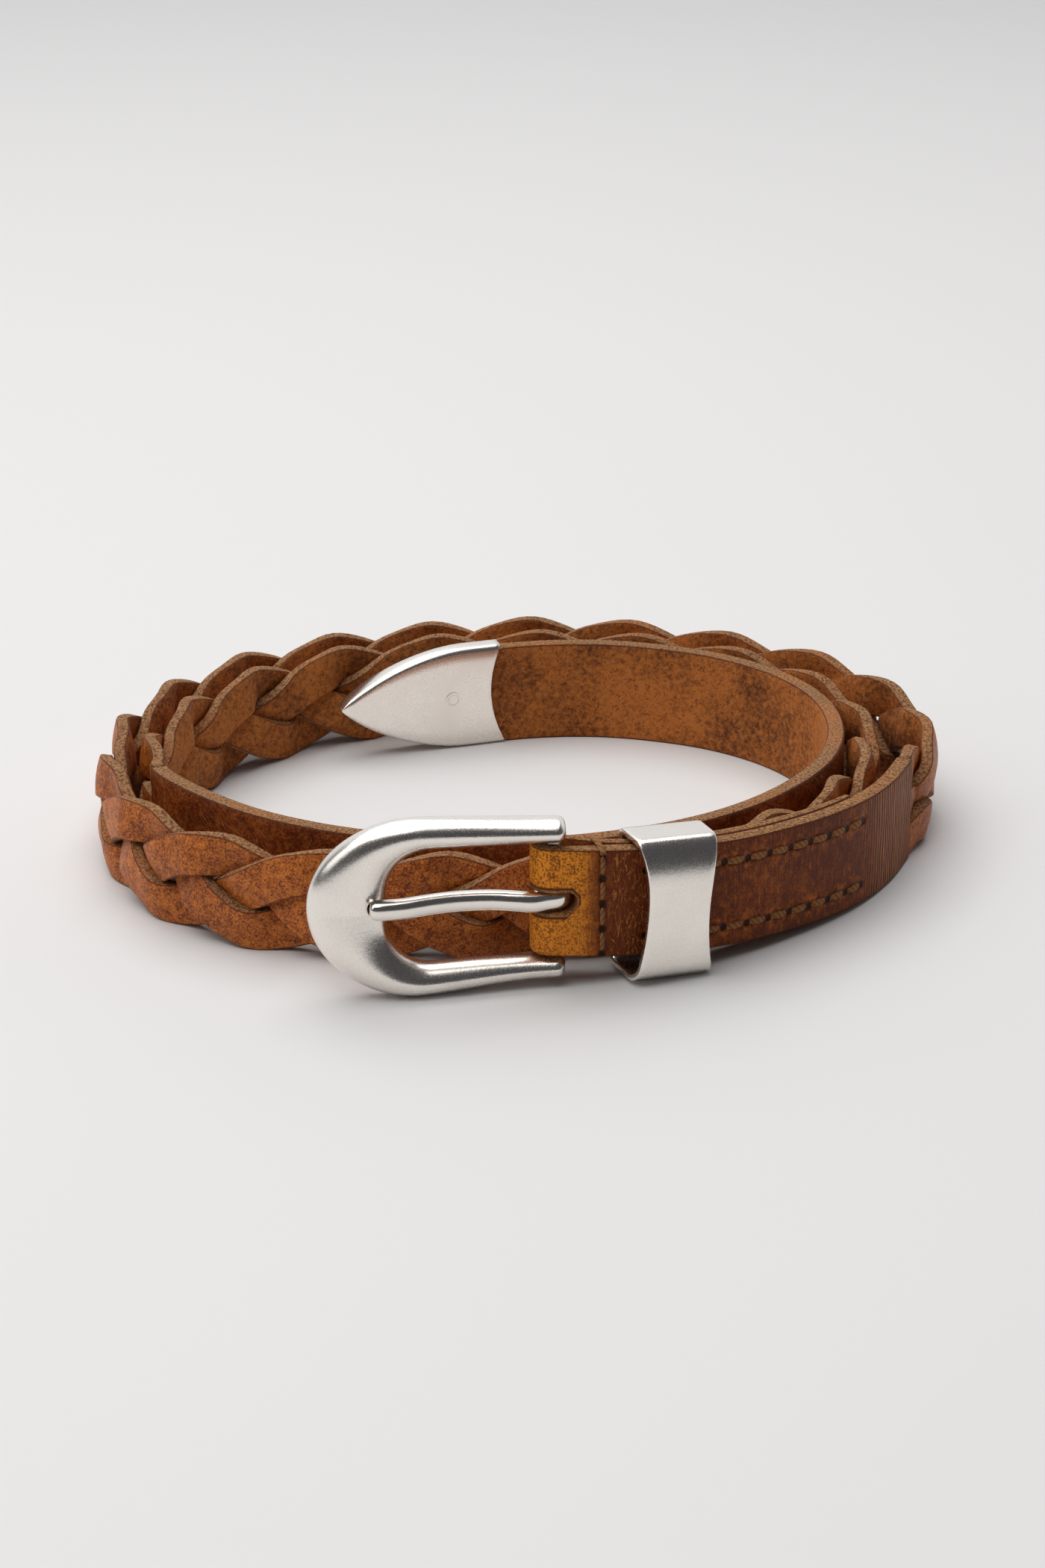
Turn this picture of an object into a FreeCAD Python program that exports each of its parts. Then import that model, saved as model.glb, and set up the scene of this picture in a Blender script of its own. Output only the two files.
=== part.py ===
import FreeCAD, Part
import math
import os
import Sketcher

# A woven leather belt, rolled up and standing on its edge. Millimetres, +Z up.
# The coil is seen from above as angles about its centre: 0 is +X, and angles grow
# counter-clockwise, past 360 for the inner turns. The buckle is at the front (-Y).

DIMENSIONS = [
    ("strap_width", 20.0),
    ("strap_thickness", 3.3),
    ("fold_thickness", 2.4),
    ("skived_thickness", 1.6),
    ("coil_centre_x", 0.40),
    ("coil_centre_y", 0.81),
    ("tab_start_angle", -85.1),
    ("tab_end_angle", -8.0),
    ("tab_lift", 6.0),
    ("back_layer_end_angle", -27.0),
    ("braid_end_angle", 552.0),
    ("strand_width", 6.6),
    ("strand_thickness", 2.2),
    ("weave_wave", 61.2),
    ("weave_rise", 2.0),
    ("weave_roll", 0.1),
    ("weave_third", 0.2),
    ("weave_lead", 8.0),
    ("slit_width", 1.8),
    ("bar_radius", 1.5),
    ("frame_length", 44.9),
    ("frame_half_height", 16.0),
    ("frame_arm_half_height", 14.8),
    ("frame_depth", 5.6),
    ("frame_behind_bar", 1.2),
    ("frame_beyond_bar", 2.2),
    ("frame_turn", 4.5),
    ("shoulder_left", 23.0),
    ("shoulder_bow", 21.98),
    ("bow_joint_left", 39.4),
    ("bow_joint_height", 8.66),
    ("end_bow", 13.0),
    ("window_half_height", 10.5),
    ("window_length", 29.6),
    ("window_corner", 8.0),
    ("frame_round", 2.0),
    ("prong_radius", 1.8),
    ("prong_ring_radius", 3.4),
    ("prong_root_left", 1.6),
    ("prong_root_front", 1.8),
    ("prong_bend_left", 13.5),
    ("prong_bend_turn", 12.0),
    ("prong_tip_left", 32.3),
    ("prong_nose_round", 1.6),
    ("prong_tip_front", 4.25),
    ("prong_bend_bow", 20.0),
    ("seat_left", 32.8),
    ("seat_clearance", 0.15),
    ("pin_clearance", 0.05),
    ("fold_clearance", 0.1),
    ("slot_reach", 4.4),
    ("keeper_angle", -68.0),
    ("keeper_width", 14.0),
    ("keeper_waist", 11.0),
    ("keeper_depth", 12.3),
    ("keeper_height", 23.8),
    ("keeper_wall", 1.3),
    ("keeper_back_radius", 58.3),
    ("keeper_tilt", 5.0),
    ("keeper_round", 2.2),
    ("cross_stitch_angle", -78.3),
    ("row_start_angle", -74.5),
    ("row_stitches", 11.0),
    ("stitch_pitch", 5.0),
    ("stitch_length", 4.0),
    ("stitch_inset", 3.8),
    ("thread_radius", 0.55),
    ("tip_start_angle", 814.5),
    ("tip_length", 34.0),
    ("tip_height", 21.0),
    ("tip_depth", 4.6),
    ("tip_notch", 2.2),
    ("tip_side_bow", 38.85),
    ("tip_chamfer", 0.6),
    ("tongue_length", 31.5),
    ("tongue_height", 18.0),
    ("tongue_side_bow", 37.53),
    ("tongue_overlap", 1.5),
    ("rivet_radius", 1.5),
    ("rivet_setback", 10.5),
]

# Middle of the leather: angle about the coil's centre, and distance from it.
COIL_ROUTE = [
    (-85.1, 66.5), (-75, 65.4), (-60, 65.1), (-46, 65.3), (-37, 66.3), (-27, 68.0), (-17, 69.7),
    (-8, 71.4), (6, 76.2), (20, 77.1), (36, 75.2), (52, 71.8), (68, 69.1), (85, 67.4),
    (102, 66.6), (119, 67.8), (137, 70.9), (155, 74.3), (172, 76.3), (188, 76.7), (204, 75.3),
    (219, 71.6), (235, 65.0), (253, 57.6), (270, 54.4), (285, 53.9), (302, 54.9), (318, 57.0),
    (334, 59.7), (351, 62.8), (368, 65.4), (384, 66.8), (400, 66.0), (416, 63.7), (433, 61.0),
    (450, 59.2), (470, 59.4), (488, 61.7), (504, 64.3), (521, 67.2), (538, 69.2), (552, 68.4),
    (560, 65.4), (568, 62.4), (576, 59.8), (588, 56.0), (601, 52.6), (615, 50.2), (630, 48.9),
    (645, 48.4), (658, 48.9), (672, 50.3), (688, 52.5), (700, 54.7), (714, 57.6), (729, 60.0),
    (743, 61.4), (756, 61.2), (769, 59.7), (782, 57.3), (794, 55.2), (805, 53.0), (816, 51.0),
    (828, 49.9), (840, 50.6),
]

doc = FreeCAD.newDocument("woven_leather_belt")
sheet = doc.addObject("Spreadsheet::Sheet", "Dimensions")
for row, (alias, value) in enumerate(DIMENSIONS, start=1):
    sheet.set("A%d" % row, alias)
    sheet.set("B%d" % row, str(value))
    sheet.setAlias("B%d" % row, alias)
doc.recompute()


def size(alias):
    return float(sheet.get(alias))


UP = FreeCAD.Vector(0, 0, 1)
WIDTH = size("strap_width")
THICKNESS = size("strap_thickness")


# ---- the coil's route ----

def coil_radius(angle):
    """Distance of the leather's middle from the coil's centre: a cubic through the route."""
    route = COIL_ROUTE
    index = 0
    while index < len(route) - 2 and angle > route[index + 1][0]:
        index += 1

    def slope(place):
        before = route[max(place - 1, 0)]
        after = route[min(place + 1, len(route) - 1)]
        return (after[1] - before[1]) / (after[0] - before[0])

    low, high = route[index], route[index + 1]
    span = high[0] - low[0]
    part = (angle - low[0]) / span
    start_weight = 2 * part**3 - 3 * part**2 + 1
    start_slope_weight = part**3 - 2 * part**2 + part
    end_slope_weight = part**3 - part**2
    return (start_weight * low[1] + (1 - start_weight) * high[1]
            + start_slope_weight * span * slope(index)
            + end_slope_weight * span * slope(index + 1))


def coil_point(angle, outward=0.0, height=0.0):
    """A point beside the route: outward is square to the leather, away from the centre."""
    turn = math.radians(angle)
    radius = coil_radius(angle)
    middle = FreeCAD.Vector(radius * math.cos(turn) + size("coil_centre_x"),
                            radius * math.sin(turn) + size("coil_centre_y"), height)
    return middle + coil_outward(angle) * outward


def coil_travel(angle):
    """Unit direction along the leather, counter-clockwise."""
    step = 0.5
    points = []
    for at in (angle - step, angle + step):
        turn = math.radians(at)
        points.append(FreeCAD.Vector(coil_radius(at) * math.cos(turn),
                                     coil_radius(at) * math.sin(turn), 0))
    return (points[1] - points[0]).normalize()


def coil_outward(angle):
    travel = coil_travel(angle)
    return FreeCAD.Vector(travel.y, -travel.x, 0)


def tab_lift(angle):
    """Height of the tab's lower edge: the buckle holds the strap up off the floor."""
    end = size("tab_end_angle")
    if angle >= end:
        return 0.0
    return size("tab_lift") * ((end - angle) / (end - size("tab_start_angle")))**1.6


def spread(start, end, count):
    return [start + (end - start) * place / count for place in range(count + 1)]


# ---- sketches whose points and radii follow the sheet ----

def worth(expression):
    """The number that an expression on the sheet stands for."""
    return float(sheet.evalExpression(expression))


def add_body(label):
    body = doc.addObject("PartDesign::Body", label)
    body.Label = label
    return body


def add_sketch(body, name, role):
    """A sketch on one of the body's own origin planes."""
    sketch = body.newObject("Sketcher::SketchObject", name)
    plane = [item for item in body.Origin.OriginFeatures if item.Role == role][0]
    sketch.AttachmentSupport = [(plane, "")]
    sketch.MapMode = "FlatFace"
    return sketch


def bind(sketch, kind, geometry, point, expression):
    """Constrain a coordinate or a radius to an expression."""
    if kind == "Radius":
        constraint = Sketcher.Constraint(kind, geometry, worth(expression))
    else:
        constraint = Sketcher.Constraint(kind, geometry, point, worth(expression))
    index = sketch.addConstraint(constraint)
    sketch.setExpression("Constraints[%d]" % index, expression)


def bow_middle(start, finish, radius):
    """The middle of an arc that bulges to the right of the way from start to finish."""
    chord = finish - start
    reach = abs(radius) - math.sqrt(radius**2 - chord.Length**2 / 4)
    right = FreeCAD.Vector(chord.y, -chord.x, 0).normalize()
    return (start + finish) * 0.5 + right * math.copysign(reach, radius)


def add_outline(sketch, stops, closed=True):
    """Lines and arcs through stops (across, up, bow), each a pair of coordinates and the radius
    of the arc that leaves it: None for a line, and a leading minus for an arc that bulges in."""
    places = [FreeCAD.Vector(worth(stop[0]), worth(stop[1]), 0) for stop in stops]
    count = len(stops) if closed else len(stops) - 1
    ends = []
    for number in range(count):
        start, finish = places[number], places[(number + 1) % len(stops)]
        bow = stops[number][2]
        if bow is None:
            sketch.addGeometry(Part.LineSegment(start, finish), False)
            ends.append((1, 2))
        else:
            sketch.addGeometry(Part.Arc(start, bow_middle(start, finish, worth(bow)), finish), False)
            ends.append((1, 2) if worth(bow) > 0 else (2, 1))
    for number in range(count):
        first, last = ends[number]
        bind(sketch, "DistanceX", number, first, stops[number][0])
        bind(sketch, "DistanceY", number, first, stops[number][1])
        if stops[number][2]:
            bind(sketch, "Radius", number, None, stops[number][2].lstrip("-"))
        if closed or number < count - 1:
            after = (number + 1) % count
            sketch.addConstraint(Sketcher.Constraint("Coincident", number, last, after, ends[after][0]))
        else:
            bind(sketch, "DistanceX", number, last, stops[-1][0])
            bind(sketch, "DistanceY", number, last, stops[-1][1])


def add_circle(sketch, across, radius):
    """A circle centred on the sketch's level axis."""
    number = sketch.addGeometry(Part.Circle(FreeCAD.Vector(worth(across), 0, 0),
                                            FreeCAD.Vector(0, 0, 1), worth(radius)), False)
    bind(sketch, "DistanceX", number, 3, across)
    bind(sketch, "DistanceY", number, 3, "0")
    bind(sketch, "Radius", number, None, radius)


def extrude_both_ways(body, kind, name, sketch, length):
    """A Pad or Pocket, half of its length to each side of the sketch."""
    feature = body.newObject("PartDesign::" + kind, name)
    feature.Profile = sketch
    feature.SideType = "Symmetric"
    feature.setExpression("Length", length)
    return feature


def rounded_rectangle(low_across, high_across, half_height, corner):
    """Stops of a rectangle with quarter-round corners, level about the across axis."""
    inside_low = "%s + %s" % (low_across, corner)
    inside_high = "%s - %s" % (high_across, corner)
    inside_up = "%s - %s" % (half_height, corner)
    down = "-(%s)"
    return [(inside_low, down % half_height, None), (inside_high, down % half_height, corner),
            (high_across, down % inside_up, None), (high_across, inside_up, corner),
            (inside_high, half_height, None), (inside_low, half_height, corner),
            (low_across, inside_up, None), (low_across, down % inside_up, corner)]


# ---- building helpers ----

def add_shape(label, shape):
    item = doc.addObject("Part::Feature", label)
    item.Label = label
    item.Shape = shape
    return item


def curve_through(points, parameters=None):
    curve = Part.BSplineCurve()
    if parameters:
        curve.interpolate(Points=points, Parameters=parameters)
    else:
        curve.interpolate(Points=points)
    return curve


def solid_from_corners(sections, face_span):
    """A solid skinned over four-cornered sections, its long faces cut every face_span sections."""
    last = len(sections) - 1
    middles = [(section[0] + section[2]) * 0.5 for section in sections]
    run = [0.0]
    for before, after in zip(middles[:-1], middles[1:]):
        run.append(run[-1] + (after - before).Length)
    curves = [curve_through([section[corner] for section in sections], run) for corner in range(4)]
    cuts = list(range(0, last, face_span))
    if last - cuts[-1] < face_span and len(cuts) > 1:
        cuts.pop()
    cuts.append(last)
    faces = []
    for begin, finish in zip(cuts[:-1], cuts[1:]):
        edges = [curve.toShape(run[begin], run[finish]) for curve in curves]
        for corner in range(4):
            faces.append(Part.makeRuledSurface(edges[corner], edges[(corner + 1) % 4]))
    for section in (sections[0], sections[-1]):
        faces.append(Part.Face(Part.makePolygon(section + [section[0]])))
    shell = Part.makeShell(faces)
    shell.sewShape()
    solid = Part.Solid(Part.Shell(shell.Faces))
    if solid.Volume < 0:
        solid.reverse()
    return solid


def flat_strip(outer, inner, low, high):
    """A strip standing on edge, from its two long edges in plan."""
    outer_edge = curve_through(outer).toShape()
    inner_edge = curve_through(inner).toShape()
    ends = [Part.makeLine(outer[0], inner[0]), Part.makeLine(outer[-1], inner[-1])]
    outline = Part.Wire(Part.__sortEdges__([outer_edge, inner_edge] + ends))
    face = Part.Face(outline)
    face.translate(UP * low)
    return face.extrude(UP * (high - low))


def capsule(start, end, radius):
    """A round-ended rod between two points."""
    axis = end - start
    length = axis.Length
    profile = Part.Wire([
        Part.Arc(FreeCAD.Vector(0, 0, 0),
                 FreeCAD.Vector(radius * math.sqrt(0.5), 0, radius * (1 - math.sqrt(0.5))),
                 FreeCAD.Vector(radius, 0, radius)).toShape(),
        Part.makeLine(FreeCAD.Vector(radius, 0, radius), FreeCAD.Vector(radius, 0, length - radius)),
        Part.Arc(FreeCAD.Vector(radius, 0, length - radius),
                 FreeCAD.Vector(radius * math.sqrt(0.5), 0, length - radius * (1 - math.sqrt(0.5))),
                 FreeCAD.Vector(0, 0, length)).toShape(),
        Part.makeLine(FreeCAD.Vector(0, 0, length), FreeCAD.Vector(0, 0, 0)),
    ])
    rod = Part.Face(profile).revolve(FreeCAD.Vector(0, 0, 0), UP, 360)
    rod.Placement = FreeCAD.Placement(start, FreeCAD.Rotation(UP, axis))
    return rod


# ---- the buckle's own frame: u to the left end, outward to the front, z up ----

BAR = coil_point(size("tab_start_angle"),
                 -(size("fold_thickness") / 2 + size("fold_clearance") + size("bar_radius")),
                 size("tab_lift") + WIDTH / 2)
BUCKLE_PLACE = FreeCAD.Placement(BAR, FreeCAD.Rotation(UP, size("frame_turn")))


def buckle_point(left, front, up=0.0):
    """A point in the buckle's plane before it is placed: X right, -Y to the front."""
    return FreeCAD.Vector(-left, -front, up)


# ---- leather tab: front layer, fold round the bar, and the layer folded back ----

def upright_section(first, second, low):
    """A section standing on edge between two points in plan."""
    base = UP * low
    top = UP * (low + WIDTH)
    return [first + base, first + top, second + top, second + base]


def front_faces(angle):
    """Outward offsets of the front layer's two faces: thinner where it meets the fold."""
    thin = size("fold_thickness") / 2
    full = THICKNESS / 2
    part = min(1.0, (angle - size("tab_start_angle")) / 9.0)
    half = thin + (full - thin) * part
    return half, -half


def back_faces(angle):
    """The folded-back layer: off the bar's back, then against the front layer, then skived."""
    start = size("tab_start_angle")
    part = min(1.0, (angle - start) / 11.0)
    ease = part * part * (3 - 2 * part)
    gap = 2 * (size("bar_radius") + size("fold_clearance")) * (1 - ease)
    skive = max(0.0, (angle + 45.0) / (size("back_layer_end_angle") + 45.0))
    thickness = size("fold_thickness") + (size("skived_thickness") - size("fold_thickness")) * skive
    outer = front_faces(angle)[1] - gap - 0.1 * ease
    return outer, outer - thickness


def build_tab():
    start = size("tab_start_angle")
    sections = []
    for angle in reversed(spread(start, size("back_layer_end_angle"), 24)):
        outer, inner = back_faces(angle)
        sections.append(upright_section(coil_point(angle, inner), coil_point(angle, outer),
                                        tab_lift(angle)))
    bend_radius = size("bar_radius") + size("fold_clearance")
    outer_radius = bend_radius + size("fold_thickness")
    middle = FreeCAD.Vector(BAR.x, BAR.y, 0)
    for turn in spread(0, math.pi, 12)[1:-1]:
        around = coil_outward(start) * -math.cos(turn) - coil_travel(start) * math.sin(turn)
        sections.append(upright_section(middle + around * outer_radius, middle + around * bend_radius,
                                        size("tab_lift")))
    for angle in spread(start, size("tab_end_angle"), 30):
        outer, inner = front_faces(angle)
        sections.append(upright_section(coil_point(angle, outer), coil_point(angle, inner),
                                        tab_lift(angle)))
    tab = solid_from_corners(sections, 12)
    slot_height = 2 * size("prong_radius") + 2.8
    slot = Part.makeBox(size("slot_reach") + 12, 30, slot_height,
                        FreeCAD.Vector(-12, -15, -slot_height / 2))
    slot.Placement = FreeCAD.Placement(BAR, FreeCAD.Rotation(FreeCAD.Vector(1, 0, 0), coil_travel(start)))
    return tab.cut(slot)


# ---- woven strands ----

ROUTE_STEP = 0.5
ROUTE_ANGLES = [size("tab_end_angle") + ROUTE_STEP * place
                for place in range(int((size("braid_end_angle") - size("tab_end_angle")) / ROUTE_STEP) + 1)]
ROUTE_LENGTHS = [0.0]
for before, after in zip(ROUTE_ANGLES[:-1], ROUTE_ANGLES[1:]):
    ROUTE_LENGTHS.append(ROUTE_LENGTHS[-1] + (coil_point(after) - coil_point(before)).Length)
BRAID_LENGTH = ROUTE_LENGTHS[-1]


def angle_at(length):
    """Coil angle at a length along the braid."""
    low, high = 0, len(ROUTE_LENGTHS) - 1
    while high - low > 1:
        middle = (low + high) // 2
        if ROUTE_LENGTHS[middle] <= length:
            low = middle
        else:
            high = middle
    part = (length - ROUTE_LENGTHS[low]) / (ROUTE_LENGTHS[high] - ROUTE_LENGTHS[low])
    return ROUTE_ANGLES[low] + part * ROUTE_STEP


# The weave turns through a whole number of sixths of a wave between its two slit ends.
WEAVE_LENGTH = BRAID_LENGTH - 2 * size("weave_lead")
WEAVE_SIXTHS = 2 * round(3 * WEAVE_LENGTH / size("weave_wave"))
WEAVE_WAVE = 6 * WEAVE_LENGTH / WEAVE_SIXTHS
WEAVE_SIDE = (WIDTH - size("strand_width")) / 2


def weave_offset(strand, length):
    """Sideways (up) and outward offset of a strand, and its roll, inside the weave."""
    phase = 2 * math.pi * ((length - size("weave_lead")) / WEAVE_WAVE + strand / 3.0)
    sideways = WEAVE_SIDE * math.sin(phase)
    outward = size("weave_rise") * (math.sin(2 * phase) + size("weave_third") * math.sin(6 * phase))
    return sideways, outward, size("weave_roll") * math.cos(3 * phase)


def strand_offset(strand, length):
    """The same with the slit ends, where the three strands lie side by side."""
    lead = size("weave_lead")
    if lead <= length <= BRAID_LENGTH - lead:
        return weave_offset(strand, length)
    at_start = length < lead
    join = lead if at_start else BRAID_LENGTH - lead
    end = 0.0 if at_start else BRAID_LENGTH
    inward = 1.0 if at_start else -1.0
    joined = weave_offset(strand, join)
    nudge = 0.01
    nudged = weave_offset(strand, join + inward * nudge)
    side = 0 if abs(joined[0]) < 0.1 else math.copysign(1, joined[0])
    flat = (side * WIDTH / 3, 0.0, 0.0)
    part = abs(length - end) / lead
    join_weight = 3 * part**2 - 2 * part**3
    slope_weight = part**3 - part**2
    return tuple(
        flat[item] * (1 - join_weight) + joined[item] * join_weight
        + slope_weight * lead * (nudged[item] - joined[item]) / nudge
        for item in range(3))


def strand_width_at(length):
    """The strands are narrower in the slits, where they lie in one plane."""
    from_end = min(length, BRAID_LENGTH - length)
    part = min(1.0, from_end / size("weave_lead"))
    return size("strand_width") - size("slit_width") * (1 - part * part)


def strand_middle(strand, length):
    sideways, outward, _roll = strand_offset(strand, length)
    return coil_point(angle_at(length), outward, WIDTH / 2 + sideways)


def strand_section(strand, length):
    """The strand's four corners, square to its own run and rolled to ride over its neighbour."""
    middle = strand_middle(strand, length)
    reach = 0.2
    if length < reach or length > BRAID_LENGTH - reach:
        run = coil_travel(angle_at(length))
    else:
        run = strand_middle(strand, length + reach) - strand_middle(strand, length - reach)
        run.normalize()
    outward = coil_outward(angle_at(length))
    across = outward.cross(run)
    across.normalize()
    if across.z < 0:
        across = -across
    across = across + outward * strand_offset(strand, length)[2]
    across = across - run * across.dot(run)
    across.normalize()
    face = across.cross(run)
    face.normalize()
    if face.dot(outward) < 0:
        face = -face
    half_width = across * (strand_width_at(length) / 2)
    half_thick = face * (size("strand_thickness") / 2)
    return [middle - half_width + half_thick, middle + half_width + half_thick,
            middle + half_width - half_thick, middle - half_width - half_thick]


def build_strand(strand):
    step = WEAVE_WAVE / 24
    count = round(BRAID_LENGTH / step)
    sections = [strand_section(strand, length) for length in spread(0.0, BRAID_LENGTH, count)]
    return solid_from_corners(sections, 6)


# ---- plain tail and its metal tip ----

def tip_frame():
    """Placement at the tip's open end: X along the strap, Y inward, Z up, at half height."""
    start = size("tip_start_angle")
    along = coil_travel(start + 7.0)
    return FreeCAD.Placement(coil_point(start, 0, size("tip_height") / 2),
                             FreeCAD.Rotation(FreeCAD.Vector(1, 0, 0), along))


def tongue_solid():
    """The strap's end inside the metal tip: straight sides, then two arcs that meet at a point."""
    start = -size("tongue_overlap")
    shoulder = start + size("tongue_length") / 4
    point = FreeCAD.Vector(start + size("tongue_length"), 0, 0)
    half = size("tongue_height") / 2
    bow = size("tongue_side_bow")
    low, high = FreeCAD.Vector(shoulder, -half, 0), FreeCAD.Vector(shoulder, half, 0)
    low_back, high_back = FreeCAD.Vector(start, -half, 0), FreeCAD.Vector(start, half, 0)
    outline = Part.Wire([
        Part.makeLine(low_back, low),
        Part.Arc(low, bow_middle(low, point, bow), point).toShape(),
        Part.Arc(point, bow_middle(point, high, bow), high).toShape(),
        Part.makeLine(high, high_back),
        Part.makeLine(high_back, low_back),
    ])
    tongue = Part.Face(outline).extrude(UP * THICKNESS)
    tongue.translate(UP * (-THICKNESS / 2))
    tongue.rotate(FreeCAD.Vector(0, 0, 0), FreeCAD.Vector(1, 0, 0), 90)
    return tongue


def build_tail():
    start = size("braid_end_angle")
    end = size("tip_start_angle")
    angles = spread(start, end, 66)
    outer = [coil_point(angle, THICKNESS / 2) for angle in angles]
    inner = [coil_point(angle, -THICKNESS / 2) for angle in angles]
    strap = flat_strip(outer, inner, 0, WIDTH)
    tongue = tongue_solid()
    hole = Part.makeCylinder(size("rivet_radius"), 2 * THICKNESS,
                             FreeCAD.Vector(size("rivet_setback"), -THICKNESS, 0),
                             FreeCAD.Vector(0, 1, 0))
    tongue = tongue.cut(hole)
    tongue.Placement = tip_frame()
    return strap.fuse(tongue).removeSplitter()


def build_tip():
    """A metal sleeve, hollowed at its open end, over the strap's pointed tongue."""
    body = add_body("tip_shell")
    half = "Dimensions.tip_height / 2"
    shoulder = "Dimensions.tip_length / 4"
    plate_sketch = add_sketch(body, "TipPlateSketch", "XZ_Plane")
    notch_bow = "(Dimensions.tip_height^2 / 4 + Dimensions.tip_notch^2) / (2 * Dimensions.tip_notch)"
    add_outline(plate_sketch, [
        ("0", "-" + half, None),
        (shoulder, "-" + half, "Dimensions.tip_side_bow"),
        ("Dimensions.tip_length", "0", "Dimensions.tip_side_bow"),
        (shoulder, half, None),
        ("0", half, None),
    ])
    extrude_both_ways(body, "Pad", "TipPlate", plate_sketch, "Dimensions.tip_depth")
    doc.recompute()
    plate = body.Tip
    rims = ["Edge%d" % (number + 1) for number, edge in enumerate(plate.Shape.Edges)
            if edge.BoundBox.YLength < 0.01 and edge.BoundBox.XLength > 5]
    chamfer = body.newObject("PartDesign::Chamfer", "TipRim")
    chamfer.Base = (plate, rims)
    chamfer.setExpression("Size", "Dimensions.tip_chamfer")
    notch_sketch = add_sketch(body, "TipNotchSketch", "XZ_Plane")
    add_circle(notch_sketch, "Dimensions.tip_notch - %s" % notch_bow, notch_bow)
    extrude_both_ways(body, "Pocket", "TipNotch", notch_sketch, "2 * Dimensions.tip_depth")
    tongue_half = "Dimensions.tongue_height / 2"
    tongue_back = "-Dimensions.tongue_overlap"
    tongue_shoulder = tongue_back + " + Dimensions.tongue_length / 4"
    hollow_sketch = add_sketch(body, "TipHollowSketch", "XZ_Plane")
    add_outline(hollow_sketch, [
        (tongue_back, "-" + tongue_half, None),
        (tongue_shoulder, "-" + tongue_half, "Dimensions.tongue_side_bow"),
        (tongue_back + " + Dimensions.tongue_length", "0", "Dimensions.tongue_side_bow"),
        (tongue_shoulder, tongue_half, None),
        (tongue_back, tongue_half, None),
    ])
    extrude_both_ways(body, "Pocket", "TipHollow", hollow_sketch, "Dimensions.strap_thickness")
    hole_sketch = add_sketch(body, "RivetHoleSketch", "XZ_Plane")
    add_circle(hole_sketch, "Dimensions.rivet_setback", "Dimensions.rivet_radius")
    extrude_both_ways(body, "Pocket", "RivetHole", hole_sketch, "2 * Dimensions.tip_depth")
    body.Placement = tip_frame()
    return body


# ---- buckle ----

def build_frame():
    """A D-shaped ring open on the bar's side, flat behind and rounded in front."""
    body = add_body("buckle_frame")
    sketch = add_sketch(body, "FrameSketch", "XZ_Plane")
    sketch.setExpression("AttachmentOffset.Base.z", "-Dimensions.frame_behind_bar")
    right = "Dimensions.frame_beyond_bar"
    left = "Dimensions.frame_beyond_bar - Dimensions.frame_length"
    shoulder = "-Dimensions.shoulder_left"
    joint = "-Dimensions.bow_joint_left"
    add_outline(sketch, [
        (right, "-Dimensions.frame_arm_half_height", None),
        (right, "Dimensions.frame_arm_half_height", None),
        (shoulder, "Dimensions.frame_half_height", "Dimensions.shoulder_bow"),
        (joint, "Dimensions.bow_joint_height", "Dimensions.end_bow"),
        (left, "0", "Dimensions.end_bow"),
        (joint, "-Dimensions.bow_joint_height", "Dimensions.shoulder_bow"),
        (shoulder, "-Dimensions.frame_half_height", None),
    ])
    pad = body.newObject("PartDesign::Pad", "FramePlate")
    pad.Profile = sketch
    pad.setExpression("Length", "Dimensions.frame_depth")
    window = "Dimensions.window_half_height"
    corner = "Dimensions.window_corner"
    far = "-Dimensions.window_length"
    open_end = "Dimensions.frame_beyond_bar + 1"
    window_sketch = add_sketch(body, "WindowSketch", "XZ_Plane")
    add_outline(window_sketch, [
        (open_end, "-" + window, None),
        (open_end, window, None),
        (far + " + " + corner, window, corner),
        (far, "%s - %s" % (window, corner), None),
        (far, "%s - %s" % (corner, window), corner),
        (far + " + " + corner, "-" + window, None),
    ])
    extrude_both_ways(body, "Pocket", "Window", window_sketch, "4 * Dimensions.frame_depth")
    doc.recompute()
    ring = body.Tip
    front = size("frame_behind_bar") - size("frame_depth")
    rims = ["Edge%d" % (number + 1) for number, edge in enumerate(ring.Shape.Edges)
            if abs(edge.BoundBox.YMin - front) < 0.01 and edge.BoundBox.YLength < 0.01
            and edge.BoundBox.XMin < size("frame_beyond_bar") - 1]
    fillet = body.newObject("PartDesign::Fillet", "FrameRound")
    fillet.Base = (ring, rims)
    fillet.setExpression("Radius", "Dimensions.frame_round")
    seat = body.newObject("PartDesign::SubtractiveCylinder", "ProngSeat")
    seat.setExpression("Radius", "Dimensions.prong_radius + Dimensions.seat_clearance")
    seat.Height = 7
    seat.Placement = FreeCAD.Placement(buckle_point(size("seat_left"), size("prong_tip_front"), 0),
                                       FreeCAD.Rotation(FreeCAD.Vector(0, 1, 0), 90))
    seat_end = body.newObject("PartDesign::SubtractiveSphere", "ProngSeatEnd")
    seat_end.setExpression("Radius", "Dimensions.prong_radius + Dimensions.seat_clearance")
    seat_end.Placement = FreeCAD.Placement(buckle_point(size("seat_left"), size("prong_tip_front"), 0),
                                           FreeCAD.Rotation())
    ears = body.newObject("PartDesign::SubtractiveCylinder", "BarHoles")
    ears.setExpression("Radius", "Dimensions.bar_radius")
    ears.setExpression("Height", "2 * Dimensions.window_half_height + 5")
    ears.setExpression("Placement.Base.z", "-Dimensions.window_half_height - 2.5")
    body.Placement = BUCKLE_PLACE
    return body


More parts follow.
